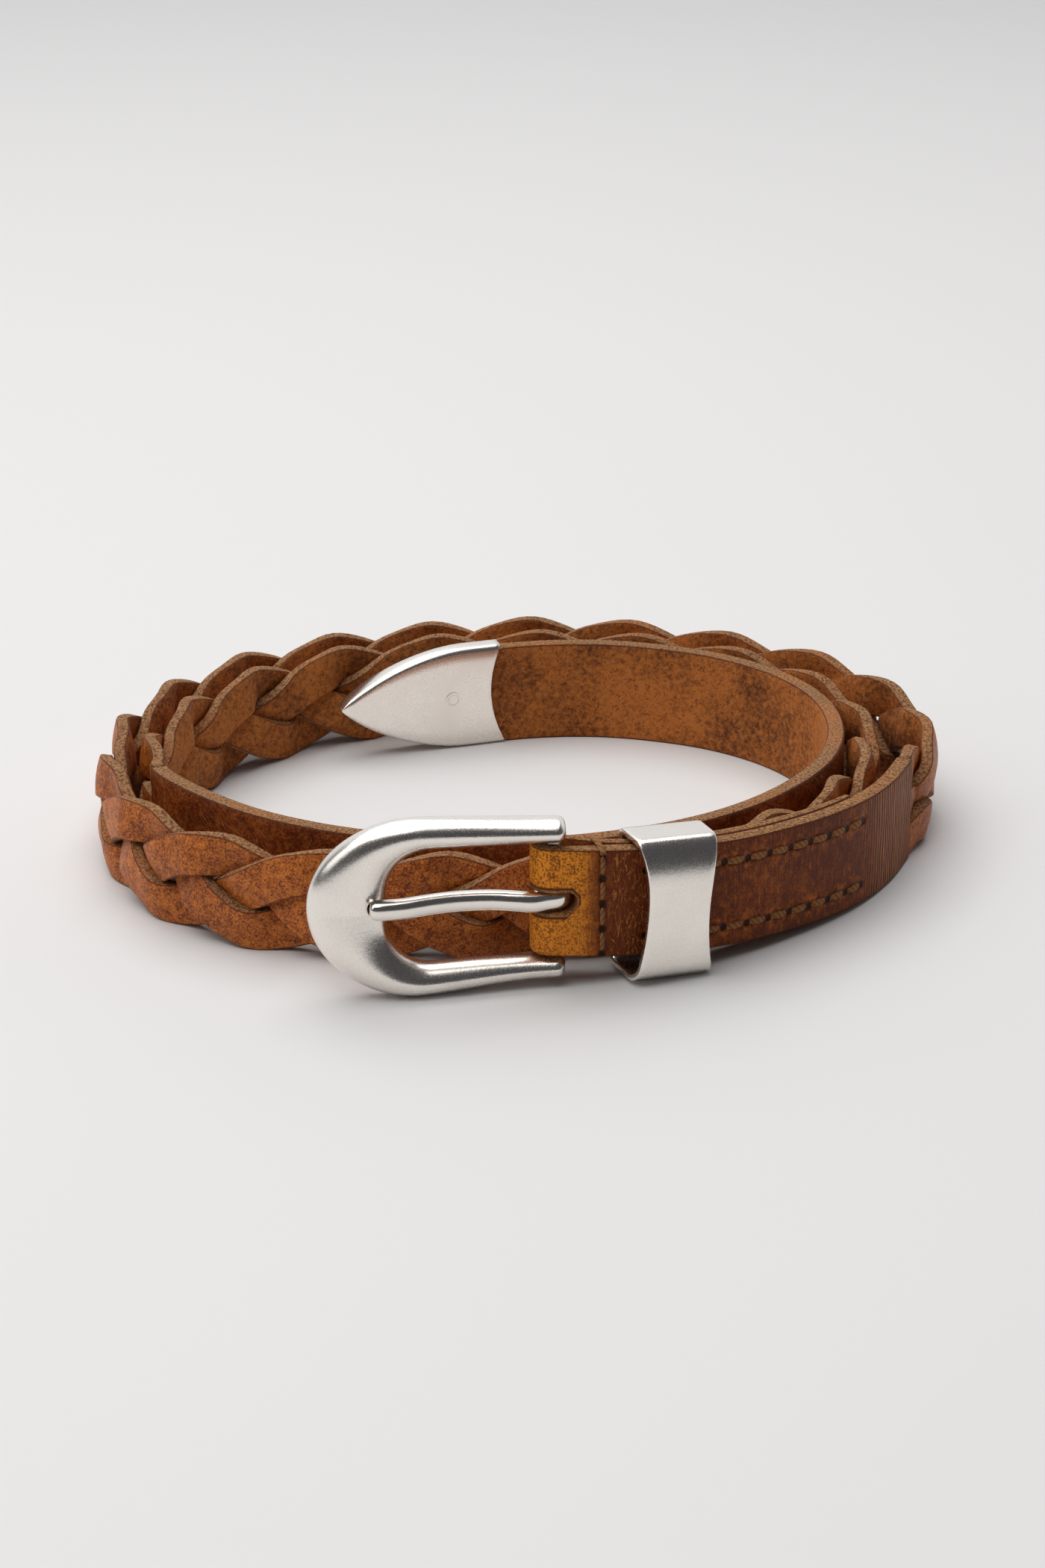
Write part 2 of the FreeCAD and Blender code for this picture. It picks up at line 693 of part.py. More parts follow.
def build_prong():
    """A bent round bar with a ring at its root, which turns on the buckle's bar."""
    body = add_body("prong")
    ring_sketch = add_sketch(body, "RingSketch", "XY_Plane")
    add_circle(ring_sketch, "0", "Dimensions.prong_ring_radius")
    extrude_both_ways(body, "Pad", "Ring", ring_sketch, "2 * Dimensions.prong_radius + 0.4")
    path_sketch = add_sketch(body, "ShankPath", "XY_Plane")
    bow = "Dimensions.prong_bend_bow"
    turn = "(Dimensions.prong_bend_turn * 1 deg)"
    along = "(%s * sin%s)" % (bow, turn)
    rise = "(%s * (1 - cos%s))" % (bow, turn)
    level = ("(Dimensions.prong_tip_front - Dimensions.prong_root_front - 2 * %s) / tan%s"
             % (rise, turn))
    add_outline(path_sketch, [
        ("-Dimensions.prong_root_left", "-Dimensions.prong_root_front", None),
        ("-Dimensions.prong_bend_left", "-Dimensions.prong_root_front", "-" + bow),
        ("-Dimensions.prong_bend_left - " + along, "-Dimensions.prong_root_front - " + rise, None),
        ("-Dimensions.prong_bend_left - %s - %s" % (along, level),
         "-Dimensions.prong_tip_front + " + rise, bow),
        ("-Dimensions.prong_bend_left - 2 * %s - %s" % (along, level), "-Dimensions.prong_tip_front", None),
        ("-Dimensions.prong_tip_left", "-Dimensions.prong_tip_front", None),
    ], closed=False)
    round_sketch = add_sketch(body, "ShankRound", "YZ_Plane")
    round_sketch.setExpression("AttachmentOffset.Base.z", "-Dimensions.prong_root_left")
    add_circle(round_sketch, "-Dimensions.prong_root_front", "Dimensions.prong_radius")
    shank = body.newObject("PartDesign::AdditivePipe", "Shank")
    shank.Profile = round_sketch
    shank.Spine = path_sketch
    doc.recompute()
    ends = ["Edge%d" % (number + 1) for number, edge in enumerate(shank.Shape.Edges)
            if edge.BoundBox.XLength < 0.01 and edge.BoundBox.XMax < -size("window_length")
            and edge.BoundBox.ZLength > 0.1]
    nose = body.newObject("PartDesign::Fillet", "Nose")
    nose.Base = (shank, ends)
    nose.setExpression("Radius", "Dimensions.prong_nose_round")
    bore_sketch = add_sketch(body, "BoreSketch", "XY_Plane")
    add_circle(bore_sketch, "0", "Dimensions.bar_radius + Dimensions.pin_clearance")
    extrude_both_ways(body, "Pocket", "Bore", bore_sketch, "4 * Dimensions.prong_radius")
    body.Placement = BUCKLE_PLACE
    return body


def build_keeper():
    """A flat metal loop, narrower at half height, that slides along the strap."""
    body = add_body("keeper")
    outer_sketch = add_sketch(body, "LoopOutside", "YZ_Plane")
    add_outline(outer_sketch, rounded_rectangle("-Dimensions.keeper_depth", "0",
                                                "Dimensions.keeper_height / 2", "Dimensions.keeper_round"))
    extrude_both_ways(body, "Pad", "Loop", outer_sketch, "Dimensions.keeper_width")
    inner_sketch = add_sketch(body, "LoopInside", "YZ_Plane")
    add_outline(inner_sketch, rounded_rectangle(
        "Dimensions.keeper_wall - Dimensions.keeper_depth", "-Dimensions.keeper_wall",
        "Dimensions.keeper_height / 2 - Dimensions.keeper_wall",
        "(Dimensions.keeper_round - Dimensions.keeper_wall)"))
    extrude_both_ways(body, "Pocket", "Passage", inner_sketch, "2 * Dimensions.keeper_width")
    waist_sketch = add_sketch(body, "WaistSketch", "XZ_Plane")
    sag = "((Dimensions.keeper_width - Dimensions.keeper_waist) / 2)"
    scoop = "((Dimensions.keeper_height^2 / 4 + %s^2) / (2 * %s))" % (sag, sag)
    add_circle(waist_sketch, "Dimensions.keeper_waist / 2 + " + scoop, scoop)
    add_circle(waist_sketch, "-(Dimensions.keeper_waist / 2 + %s)" % scoop, scoop)
    extrude_both_ways(body, "Pocket", "Waist", waist_sketch, "4 * Dimensions.keeper_depth")
    angle = size("keeper_angle")
    turn = math.radians(angle)
    place = FreeCAD.Vector(size("keeper_back_radius") * math.cos(turn) + size("coil_centre_x"),
                           size("keeper_back_radius") * math.sin(turn) + size("coil_centre_y"),
                           tab_lift(angle) + WIDTH / 2)
    flat = FreeCAD.Rotation(FreeCAD.Vector(1, 0, 0), coil_travel(angle))
    tilt = FreeCAD.Rotation(FreeCAD.Vector(0, 1, 0), size("keeper_tilt"))
    body.Placement = FreeCAD.Placement(place, flat.multiply(tilt))
    return body


# ---- thread ----

def angle_past(angle, length):
    """The coil angle a length further on."""
    return angle + math.degrees(length / coil_radius(angle))


def row_stitch(angle, height, face):
    """One stitch along the strap, half sunk in a face of the tab."""
    end = angle_past(angle, size("stitch_length"))
    return capsule(coil_point(angle, face, tab_lift(angle) + height),
                   coil_point(end, face, tab_lift(end) + height), size("thread_radius"))


def build_row(height):
    stitches = []
    angle = size("row_start_angle")
    for _number in range(int(size("row_stitches"))):
        stitches.append(row_stitch(angle, height, front_faces(angle)[0]))
        stitches.append(row_stitch(angle, height, back_faces(angle)[1]))
        angle = angle_past(angle, size("stitch_pitch"))
    return Part.makeCompound(stitches)


def build_cross_stitch():
    angle = size("cross_stitch_angle")
    outer = front_faces(angle)[0]
    inner = back_faces(angle)[1]
    low = tab_lift(angle)
    heights = [1.2, 6.0, 10.6, 15.2, 19.6]
    stitches = []
    for bottom, top in zip(heights[:-1], heights[1:]):
        for face in (outer, inner):
            stitches.append(capsule(coil_point(angle, face, low + bottom + 0.4),
                                    coil_point(angle, face, low + top - 0.4), size("thread_radius")))
    return Part.makeCompound(stitches)


# ---- the pieces ----

subparts = [add_shape("buckle_tab", build_tab())]
for number in range(3):
    subparts.append(add_shape("braid_strand_%d" % (number + 1), build_strand(number)))
subparts.append(add_shape("tail_strap", build_tail()))
subparts.append(build_tip())

rivet = doc.addObject("Part::Cylinder", "tip_rivet")
rivet.setExpression("Radius", "Dimensions.rivet_radius")
rivet.setExpression("Height", "Dimensions.tip_depth + 0.3")
rivet_rest = FreeCAD.Placement(FreeCAD.Vector(size("rivet_setback"), -(size("tip_depth") + 0.3) / 2, 0),
                               FreeCAD.Rotation(FreeCAD.Vector(1, 0, 0), -90))
rivet.Placement = tip_frame().multiply(rivet_rest)
subparts.append(rivet)

bar = doc.addObject("Part::Cylinder", "buckle_bar")
bar.setExpression("Radius", "Dimensions.bar_radius")
bar.setExpression("Height", "2 * Dimensions.window_half_height + 5")
bar.Placement = FreeCAD.Placement(BAR - UP * (size("window_half_height") + 2.5), FreeCAD.Rotation())
subparts.append(bar)

subparts += [build_frame(), build_prong(), build_keeper()]
subparts.append(add_shape("cross_stitch", build_cross_stitch()))
subparts.append(add_shape("upper_stitch_row", build_row(WIDTH - size("stitch_inset"))))
subparts.append(add_shape("lower_stitch_row", build_row(size("stitch_inset"))))
doc.recompute()

# ---- checks and files ----

for item in doc.Objects:
    if "Invalid" in item.State or "Error" in item.State:
        raise RuntimeError("failed object: " + item.Label)
for item in subparts:
    if item.Shape.isNull() or not item.Shape.isValid():
        raise RuntimeError("bad shape: " + item.Label)
os.makedirs("parts", exist_ok=True)
whole = FreeCAD.BoundBox()
for item in subparts:
    item.Shape.exportStep("parts/%s.step" % item.Label)
    whole.add(item.Shape.BoundBox)
    print("%-20s %10.1f mm3 %3d solids" % (item.Label, item.Shape.Volume, len(item.Shape.Solids)))
print("box", whole)
print("bar", BAR)
print("keeper slides along", subparts[10].Placement.Rotation.multVec(FreeCAD.Vector(1, 0, 0)))
print("braid length %.1f, wave %.2f, sixths %d" % (BRAID_LENGTH, WEAVE_WAVE, WEAVE_SIXTHS))
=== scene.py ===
import math
import bmesh
import bpy
from mathutils import Matrix, Vector


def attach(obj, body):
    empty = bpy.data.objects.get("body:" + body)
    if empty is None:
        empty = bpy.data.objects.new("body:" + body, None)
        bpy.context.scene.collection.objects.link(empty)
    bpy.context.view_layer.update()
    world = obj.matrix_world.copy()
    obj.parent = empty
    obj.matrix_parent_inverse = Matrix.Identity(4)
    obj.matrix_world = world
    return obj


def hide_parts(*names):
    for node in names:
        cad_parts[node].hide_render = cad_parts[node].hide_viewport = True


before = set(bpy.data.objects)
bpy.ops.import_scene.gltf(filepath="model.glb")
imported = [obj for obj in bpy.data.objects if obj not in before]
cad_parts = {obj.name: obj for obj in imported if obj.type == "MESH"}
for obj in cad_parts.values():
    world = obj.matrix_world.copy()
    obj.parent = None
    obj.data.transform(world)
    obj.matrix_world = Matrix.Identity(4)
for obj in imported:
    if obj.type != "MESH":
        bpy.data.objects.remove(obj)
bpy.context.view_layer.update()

scene = bpy.context.scene
mm = 0.001
up = Vector((0, 0, 1))


# the coil's route, in millimetres and degrees, as the solids have it

coilCentre = Vector((0.40, 0.81, 0))
coilRoute = [
    (-85.1, 66.5), (-75, 65.4), (-60, 65.1), (-46, 65.3), (-37, 66.3), (-27, 68.0), (-17, 69.7),
    (-8, 71.4), (6, 76.2), (20, 77.1), (36, 75.2), (52, 71.8), (68, 69.1), (85, 67.4),
    (102, 66.6), (119, 67.8), (137, 70.9), (155, 74.3), (172, 76.3), (188, 76.7), (204, 75.3),
    (219, 71.6), (235, 65.0), (253, 57.6), (270, 54.4), (285, 53.9), (302, 54.9), (318, 57.0),
    (334, 59.7), (351, 62.8), (368, 65.4), (384, 66.8), (400, 66.0), (416, 63.7), (433, 61.0),
    (450, 59.2), (470, 59.4), (488, 61.7), (504, 64.3), (521, 67.2), (538, 69.2), (552, 68.4),
    (560, 65.4), (568, 62.4), (576, 59.8), (588, 56.0), (601, 52.6), (615, 50.2), (630, 48.9),
    (645, 48.4), (658, 48.9), (672, 50.3), (688, 52.5), (700, 54.7), (714, 57.6), (729, 60.0),
    (743, 61.4), (756, 61.2), (769, 59.7), (782, 57.3), (794, 55.2), (805, 53.0), (816, 51.0),
    (828, 49.9), (840, 50.6),
]

strap = {
    "width": 20.0,
    "thickness": 3.3,
    "foldThickness": 2.4,
    "skived": 1.6,
    "skiveStart": -45.0,
    "layerGap": 0.08,
    "thickenOver": 9.0,   # degrees past the fold where the front layer is full again
    "closeOver": 11.0,    # and where the two layers have come together
    "edgeRound": 0.45,
    "tabStart": -85.1,
    "tabEnd": -8.0,
    "backLayerEnd": -27.0,
    "braidEnd": 552.0,
    "tipStart": 814.5,
    "lift": 6.0,
    "tailGrain": 900,     # starts the tail's grain pattern away from the tab's
    "tongue": (3.0, 8.0, 14.0),   # steps of the narrower end inside the tip
    "tongueNarrower": 1.6,
    "tongueThinner": 0.1,
}


def routeRadius(angle):
    index = 0
    while index < len(coilRoute) - 2 and angle > coilRoute[index + 1][0]:
        index += 1

    def slope(place):
        before = coilRoute[max(place - 1, 0)]
        after = coilRoute[min(place + 1, len(coilRoute) - 1)]
        return (after[1] - before[1]) / (after[0] - before[0])

    low, high = coilRoute[index], coilRoute[index + 1]
    span = high[0] - low[0]
    part = (angle - low[0]) / span
    startWeight = 2 * part**3 - 3 * part**2 + 1
    return (startWeight * low[1] + (1 - startWeight) * high[1]
            + (part**3 - 2 * part**2 + part) * span * slope(index)
            + (part**3 - part**2) * span * slope(index + 1))


def polar(angle, radius):
    return Vector((math.cos(math.radians(angle)), math.sin(math.radians(angle)), 0)) * radius


def rightOf(travel):
    return Vector((travel.y, -travel.x, 0))


def routeTravel(angle):
    before, after = (polar(at, routeRadius(at)) for at in (angle - 0.5, angle + 0.5))
    return (after - before).normalized()


def routeOutward(angle):
    return rightOf(routeTravel(angle))


def routePoint(angle, outward=0.0, height=0.0):
    middle = coilCentre + polar(angle, routeRadius(angle))
    return middle + routeOutward(angle) * outward + up * height


def tabLift(angle):
    if angle >= strap["tabEnd"]:
        return 0.0
    part = (strap["tabEnd"] - angle) / (strap["tabEnd"] - strap["tabStart"])
    return strap["lift"] * part**1.6


def spread(start, end, count):
    return [start + (end - start) * place / count for place in range(count + 1)]


def circle(count):
    return [(math.cos(turn), math.sin(turn)) for turn in spread(0, 2 * math.pi, count)[:-1]]


def smooth(part):
    part = min(1.0, max(0.0, part))
    return part * part * (3 - 2 * part)


# shader helpers

class Sock:
    # a socket that Python arithmetic can be written on
    def __init__(self, shader, socket):
        self.shader = shader
        self.socket = socket

    def maths(self, operation, *others):
        return self.shader.node("ShaderNodeMath", {"operation": operation}, [self, *others])

    def __add__(self, other):
        return self.maths("ADD", other)

    __radd__ = __add__

    def __sub__(self, other):
        return self.maths("SUBTRACT", other)

    def __rsub__(self, other):
        return self.shader.node("ShaderNodeMath", {"operation": "SUBTRACT"}, [other, self])

    def __mul__(self, other):
        return self.maths("MULTIPLY", other)

    __rmul__ = __mul__

    def __truediv__(self, other):
        return self.maths("DIVIDE", other)

    def __pow__(self, other):
        return self.maths("POWER", other)

    def __abs__(self):
        return self.maths("ABSOLUTE")

    def atLeast(self, other):
        return self.maths("MAXIMUM", other)

    def atMost(self, other):
        return self.maths("MINIMUM", other)

    def ramp(self, low, high, fromValue=0.0, toValue=1.0):
        return self.shader.node("ShaderNodeMapRange", {"interpolation_type": "SMOOTHSTEP"},
                                [self, low, high, fromValue, toValue])


class Shader:
    def __init__(self, name):
        self.material = bpy.data.materials.new(name)
        self.material.use_nodes = True
        self.tree = self.material.node_tree
        self.surface = self.tree.nodes["Principled BSDF"]

    def node(self, kind, settings=None, values=(), output=0):
        made = self.tree.nodes.new(kind)
        for key, value in (settings or {}).items():
            setattr(made, key, value)
        pairs = values.items() if isinstance(values, dict) else enumerate(values)
        for key, value in pairs:
            self.feed(made.inputs[key], value)
        return Sock(self, made.outputs[output])

    def feed(self, target, value):
        if isinstance(value, Sock):
            self.tree.links.new(value.socket, target)
        elif hasattr(target.default_value, "__len__") and len(target.default_value) == 4:
            target.default_value = tuple(value[:3]) + (1.0,)
        else:
            target.default_value = value

    def attribute(self, name):
        return self.node("ShaderNodeAttribute", {"attribute_name": name}, output="Fac")

    def vector(self, x, y, z):
        return self.node("ShaderNodeCombineXYZ", None, [x, y, z])

    def place(self, scale=(1, 1, 1), source=None):
        start = source or self.node("ShaderNodeTexCoord", output="Object")
        return self.node("ShaderNodeMapping", None, {"Vector": start, "Scale": scale})

    def noise(self, where, scale, detail=3.0, rough=0.5):
        return self.node("ShaderNodeTexNoise", None,
                         {"Vector": where, "Scale": scale, "Detail": detail, "Roughness": rough})

    def cells(self, where, scale, feature="F1"):
        return self.node("ShaderNodeTexVoronoi", {"feature": feature},
                         {"Vector": where, "Scale": scale})

    def mix(self, factor, first, second):
        made = self.tree.nodes.new("ShaderNodeMix")
        made.data_type = "RGBA"
        for key, value in (("Factor_Float", factor), ("A_Color", first), ("B_Color", second)):
            self.feed(next(item for item in made.inputs if item.identifier == key), value)
        return Sock(self, next(item for item in made.outputs if item.identifier == "Result_Color"))

    def bump(self, height, distance, strength):
        return self.node("ShaderNodeBump", None,
                         {"Height": height, "Distance": distance, "Strength": strength})

    def finish(self, **inputs):
        for name, value in inputs.items():
            self.feed(self.surface.inputs[name.replace("_", " ")], value)
        return self.material


# leather

leather = {
    "dark": (0.085, 0.015, 0.004),
    "mid": (0.330, 0.068, 0.010),
    "warm": (0.620, 0.175, 0.027),
    "pulled": (0.780, 0.290, 0.060),
    "golden": (0.960, 0.340, 0.022),
    "pebble": (0.310, 0.082, 0.010),
    "cut": (0.460, 0.240, 0.110),
    "cutDark": (0.120, 0.045, 0.014),
    "flesh": (0.520, 0.170, 0.034),
    "fleshDark": (0.090, 0.026, 0.008),
    "pale": (0.520, 0.200, 0.082),
    "deep": (0.150, 0.026, 0.005),
    # hole is painted shade: the near-black inside of a stitch hole
    "hole": (0.020, 0.007, 0.002),
    "grainRough": 0.47,
    "cutRough": 0.92,
}


def leatherMaterial(name, tone, specks, gloss=0.13, streaks=0.0, slants=0.0, stitched=False):
    # tone leans from the dark dye to the warm one, specks is how strong the pale grain is,
    # streaks are fine hairs across the strap, slants is the creasing of a strap that has been bent
    shader = Shader(name)
    along = shader.attribute("along")
    across = shader.attribute("across")
    side = shader.attribute("side")
    bend = shader.attribute("bend")
    creased = shader.attribute("creased")
    where = shader.place()
    flat = shader.vector(along, across, side * 0.02)
    cloud = shader.noise(where, 60.0, 3.0, 0.55)
    mottle = shader.noise(where, 620.0, 4.0, 0.65)
    fine = shader.noise(where, 2500.0, 3.0, 0.65)
    pebble = shader.cells(where, 2300.0)
    hairs = shader.noise(shader.place((1.0, 0.10, 1.0), flat), 2600.0, 3.0, 0.7)

    body = (cloud * 0.5 + mottle * 0.3 + (tone - 0.42)).ramp(0.0, 0.9)
    colour = shader.mix(body, leather["dark"], leather["mid"])
    warmth = (mottle * 0.5 + cloud * 0.5 + tone - 0.8).ramp(0.0, 0.6)
    colour = shader.mix(warmth, colour, leather["warm"])
    grainy = fine * 0.72 + mottle * 0.28
    colour = shader.mix(grainy.ramp(0.50, 0.64) * specks, colour, leather["pulled"])
    colour = shader.mix(grainy.ramp(0.52, 0.38) * 0.85, colour, leather["dark"])
    pulled = (bend + (mottle - 0.5) * 0.25).ramp(0.15, 0.85)
    pebbled = (grainy * 0.8 + pebble * 0.25).ramp(0.44, 0.58)
    golden = shader.mix(pebbled, leather["pebble"], leather["golden"])
    golden = shader.mix(pulled.ramp(0.95, 0.45) * 0.6, golden, leather["pebble"])
    golden = shader.mix((cloud - 0.5).ramp(-0.05, 0.15) * 0.30, golden, leather["warm"])
    colour = shader.mix(pulled * 0.92, colour, golden)
    height = fine * 0.5 + mottle * 0.25 - pebble * 0.30

    if streaks:
        colour = shader.mix(hairs.ramp(0.52, 0.74) * 0.55 * streaks, colour, leather["warm"])
        colour = shader.mix(hairs.ramp(0.48, 0.30) * 0.5 * streaks, colour, leather["dark"])
        height = height + hairs * 0.7 * streaks
    if slants:
        tilted = shader.place((1.0, 0.42, 1.0), shader.vector(along + across, across, side * 0.02))
        slantLine = crease(shader, tilted, 700.0) * shader.noise(flat, 110.0, 2.0).ramp(0.42, 0.56)
        colour = shader.mix(slantLine * slants, colour, leather["warm"])
        height = height - slantLine * slants

    hole = None
    if stitched:
        # pale upright crackle between the cross stitch and the keeper
        start = stitching["crossAlong"] * mm
        span = along.ramp(start + 0.0008, start + 0.002)
        span = span * along.ramp(start + 0.010, start + 0.014, 1.0, 0.0)
        upright = shader.place((1.0, 0.24, 1.0), flat)
        crackle = crease(shader, upright, 1450.0) * span
        colour = shader.mix(span * 0.7, colour, leather["deep"])
        colour = shader.mix(crackle * 0.65, colour, leather["pulled"])
        height = height - crackle * 0.9
        # close upright creases where the tab bends on into the weave
        wave = shader.node("ShaderNodeTexWave", None,
                           {"Vector": shader.place((1.0, 0.22, 1.0), flat), "Scale": 330.0,
                            "Distortion": 5.5, "Detail": 3.0, "Detail Scale": 0.9}, output="Fac")
        folds = wave * creased
        colour = shader.mix(creased * 0.30, colour, leather["pale"])
        colour = shader.mix(folds.ramp(0.30, 0.8) * 0.80, colour, leather["pale"])
        # darker between the folds: painted shade in the crease valleys
        colour = shader.mix(wave.ramp(0.50, 0.15) * creased * 0.85, colour, leather["dark"])
        height = height + folds * 3.6
        # holes and grooves of the two rows and of the cross stitch
        pitch = stitching["pitch"] * mm
        place = (along - stitching["rowStart"] * mm) / pitch
        near = abs(place - place.maths("ROUND")) * pitch
        inset = (strap["width"] / 2 - stitching["inset"]) * mm
        lane = abs(abs(across) - inset)
        rowEnd = stitching["count"] + 0.2
        row = place.ramp(-0.3, -0.2) * place.ramp(rowEnd, rowEnd + 0.1, 1.0, 0.0)
        spot = ((near * near + lane * lane) ** 0.5).ramp(0.00040, 0.00085, 1.0, 0.0) * row
        groove = lane.ramp(0.0003, 0.0012, 1.0, 0.0) * row
        crossLane = abs(along - start)
        crossPitch = stitching["crossPitch"] * mm
        crossPlace = (across + (strap["width"] / 2 - stitching["crossLow"]) * mm) / crossPitch
        crossNear = abs(crossPlace - crossPlace.maths("ROUND")) * crossPitch
        crossSpot = (crossNear * crossNear * 0.5 + crossLane * crossLane) ** 0.5
        crossSpot = crossSpot.ramp(0.0003, 0.0008, 1.0, 0.0)
        groove = groove.atLeast(crossLane.ramp(0.0003, 0.0013, 1.0, 0.0))
        spot = spot.atLeast(crossSpot)
        glow = lane.ramp(0.0007, 0.0030, 1.0, 0.0) * row * mottle.ramp(0.48, 0.66)
        colour = shader.mix(glow * 0.45, colour, leather["warm"])
        # the grooves beside the thread are darkened and the holes painted near-black: painted shade in
        # these recesses
        colour = shader.mix(groove * 0.45, colour, leather["dark"])
        colour = shader.mix(spot, colour, leather["hole"])
        hole = groove * 0.5 + spot

    fleshMottle = shader.noise(where, 900.0, 4.0, 0.70)
    fleshSpeck = shader.noise(where, 2000.0, 3.0, 0.7)
    fleshColour = shader.mix((fleshMottle * 0.6 + cloud * 0.5).ramp(0.36, 0.66),
                             leather["fleshDark"], leather["flesh"])
    fleshColour = shader.mix(fleshSpeck.ramp(0.54, 0.64) * 0.70, fleshColour, leather["fleshDark"])
    fleshMask = side.ramp(-0.35, -0.75)
    colour = shader.mix(fleshMask, colour, fleshColour)

    fibre = shader.noise(where, 1900.0, 4.0, 0.78)
    cutMask = (abs(side) + (fibre - 0.5) * 0.35).ramp(0.30, 0.52, 1.0, 0.0)
    cutColour = shader.mix(fibre.ramp(0.38, 0.60), leather["cutDark"], leather["cut"])
    cutColour = shader.mix(cloud.ramp(0.45, 0.8) * 0.35, cutColour, leather["warm"])
    burnish = abs(abs(side) - 0.60).ramp(0.06, 0.30, 1.0, 0.0)
    colour = shader.mix(burnish * 0.80, colour, leather["dark"])
    colour = shader.mix(cutMask, colour, cutColour)

    rough = leather["grainRough"] + (mottle - 0.5) * 0.25 + (fine - 0.5) * 0.25
    rough = rough + fleshMask * 0.34
    rough = (rough + cutMask * (leather["cutRough"] - leather["grainRough"])).atMost(1.0)
    height = height * (1 - cutMask) + fibre * cutMask * 2.0 + fleshSpeck * fleshMask * 0.7
    if hole:
        height = height - hole * 3.0
    return shader.finish(Base_Color=colour, Roughness=rough, Specular_IOR_Level=gloss,
                         Normal=shader.bump(height, 0.00020, 0.8))


def crease(shader, where, scale):
    # thin wandering lines
    wander = shader.node("ShaderNodeTexNoise", None,
                         {"Vector": where, "Scale": scale * 1.3, "Detail": 2.0}, output="Color")
    shifted = shader.node("ShaderNodeVectorMath", {"operation": "MULTIPLY_ADD"},
                          {0: wander, 1: (0.0011, 0.0011, 0.0), 2: where})
    return shader.cells(shifted, scale, "DISTANCE_TO_EDGE").ramp(0.0, 0.07, 1.0, 0.0)


# metal and thread

nickel = {
    "plate": (0.88, 0.83, 0.77),
    "shade": (0.76, 0.715, 0.66),
}


def nickelMaterial(name, roughness=0.22, tumbled=1.0):
    shader = Shader(name)
    where = shader.place()
    cloud = shader.noise(where, 120.0, 3.0)
    frost = shader.noise(where, 4200.0, 2.0, 0.7)
    dents = shader.noise(where, 1500.0, 3.0, 0.6)
    scratch = shader.noise(shader.place((1.0, 9.0, 9.0)), 700.0, 2.0)
    colour = shader.mix(cloud.ramp(0.35, 0.75) * 0.35 + frost.ramp(0.5, 0.8) * 0.15,
                        nickel["plate"], nickel["shade"])
    rough = roughness + (cloud - 0.5) * 0.08 + frost.ramp(0.45, 0.75) * 0.10 * tumbled
    height = frost * 0.35 + dents * 0.65 + scratch * 0.2
    return shader.finish(Base_Color=colour, Metallic=1.0, Roughness=rough,
                         Normal=shader.bump(height, 0.00005, 0.45 * tumbled))


thread = {
    "pale": (0.36, 0.155, 0.042),
    "dark": (0.14, 0.047, 0.012),
}


def threadMaterial(name):
    shader = Shader(name)
    along = shader.attribute("along")
    around = shader.attribute("across")
    twist = shader.node("ShaderNodeTexWave", {"bands_direction": "DIAGONAL"},
                        {"Vector": shader.vector(along, around, 0.0), "Scale": 520.0,
                         "Distortion": 1.0}, output="Fac")
    fuzz = shader.noise(shader.place(), 3500.0, 3.0, 0.7)
    colour = shader.mix((twist * 0.4 + fuzz * 0.9).ramp(0.2, 1.1), thread["dark"], thread["pale"])
    return shader.finish(Base_Color=colour, Roughness=0.85,
                         Normal=shader.bump(twist + fuzz * 0.4, 0.00012, 0.8))


# mesh helpers

def newObject(name, bm):
    bmesh.ops.recalc_face_normals(bm, faces=bm.faces)
    mesh = bpy.data.meshes.new(name)
    bm.to_mesh(mesh)
    bm.free()
    made = bpy.data.objects.new(name, mesh)
    scene.collection.objects.link(made)
    return made


def newPiece(name, bm, material, body, replaced, smoothShade=True):
    piece = newObject(name, bm)
    piece.data.materials.append(material)
    if smoothShade:
        for polygon in piece.data.polygons:
            polygon.use_smooth = True
    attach(piece, body)
    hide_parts(*replaced)
    return piece


def onlyVerts(items):
    return [item for item in items if isinstance(item, bmesh.types.BMVert)]


def sweepRings(bm, rings, closeEnds=True):
    # each ring is a list of (position in millimetres, along, across, side, bend, creased);
    # metal gives the position alone
    names = ("along", "across", "side", "bend", "creased")
    layers = [bm.verts.layers.float.get(name) or bm.verts.layers.float.new(name) for name in names]
    order = bm.verts.layers.int.get("order") or bm.verts.layers.int.new("order")
    first = [bm.verts.new(point[0] * mm) for point in rings[0]]
    for index, vert in enumerate(first):
        vert[order] = index
    edges = [bm.edges.new((first[index - 1], first[index])) for index in range(len(first))]

    def settle(verts, ring):
        for vert in verts:
            point = ring[vert[order]]
            vert.co = point[0] * mm
            for layer, value in zip(layers, point[1:]):
                vert[layer] = value

    settle(first, rings[0])
    if closeEnds:
        bmesh.ops.contextual_create(bm, geom=edges)
    for ring in rings[1:]:
        grown = bmesh.ops.extrude_edge_only(bm, edges=edges)["geom"]
        verts = set(onlyVerts(grown))
        settle(verts, ring)
        edges = [item for item in grown if isinstance(item, bmesh.types.BMEdge)
                 and item.verts[0] in verts and item.verts[1] in verts]
    if closeEnds:
        bmesh.ops.contextual_create(bm, geom=edges)


def bandProfile(width, thickness, corner, crown, cuts):
    # (across, outward, side) round a flat band: grain face, edge, flesh face, edge
    halfWidth, halfThick = width / 2, thickness / 2
    ring = []
    for face in (1, -1):
        for step in range(cuts + 1):
            part = 2 * step / cuts - 1
            bulge = crown * (1 - part * part)
            ring.append((part * face * (halfWidth - corner), face * (halfThick - crown + bulge), face))
        for turn, side, facing in ((30, 0.72, 1), (60, 0.38, 1), (90, 0.0, 1), (90, 0.0, 0),
                                   (90, 0.0, -1), (60, 0.38, -1), (30, 0.72, -1)):
            lean = math.radians(turn)
            ring.append((face * (halfWidth - corner + corner * math.sin(lean)),
                         face * facing * (halfThick - crown - corner * (1 - math.cos(lean))),
                         face * facing * side))
    return ring


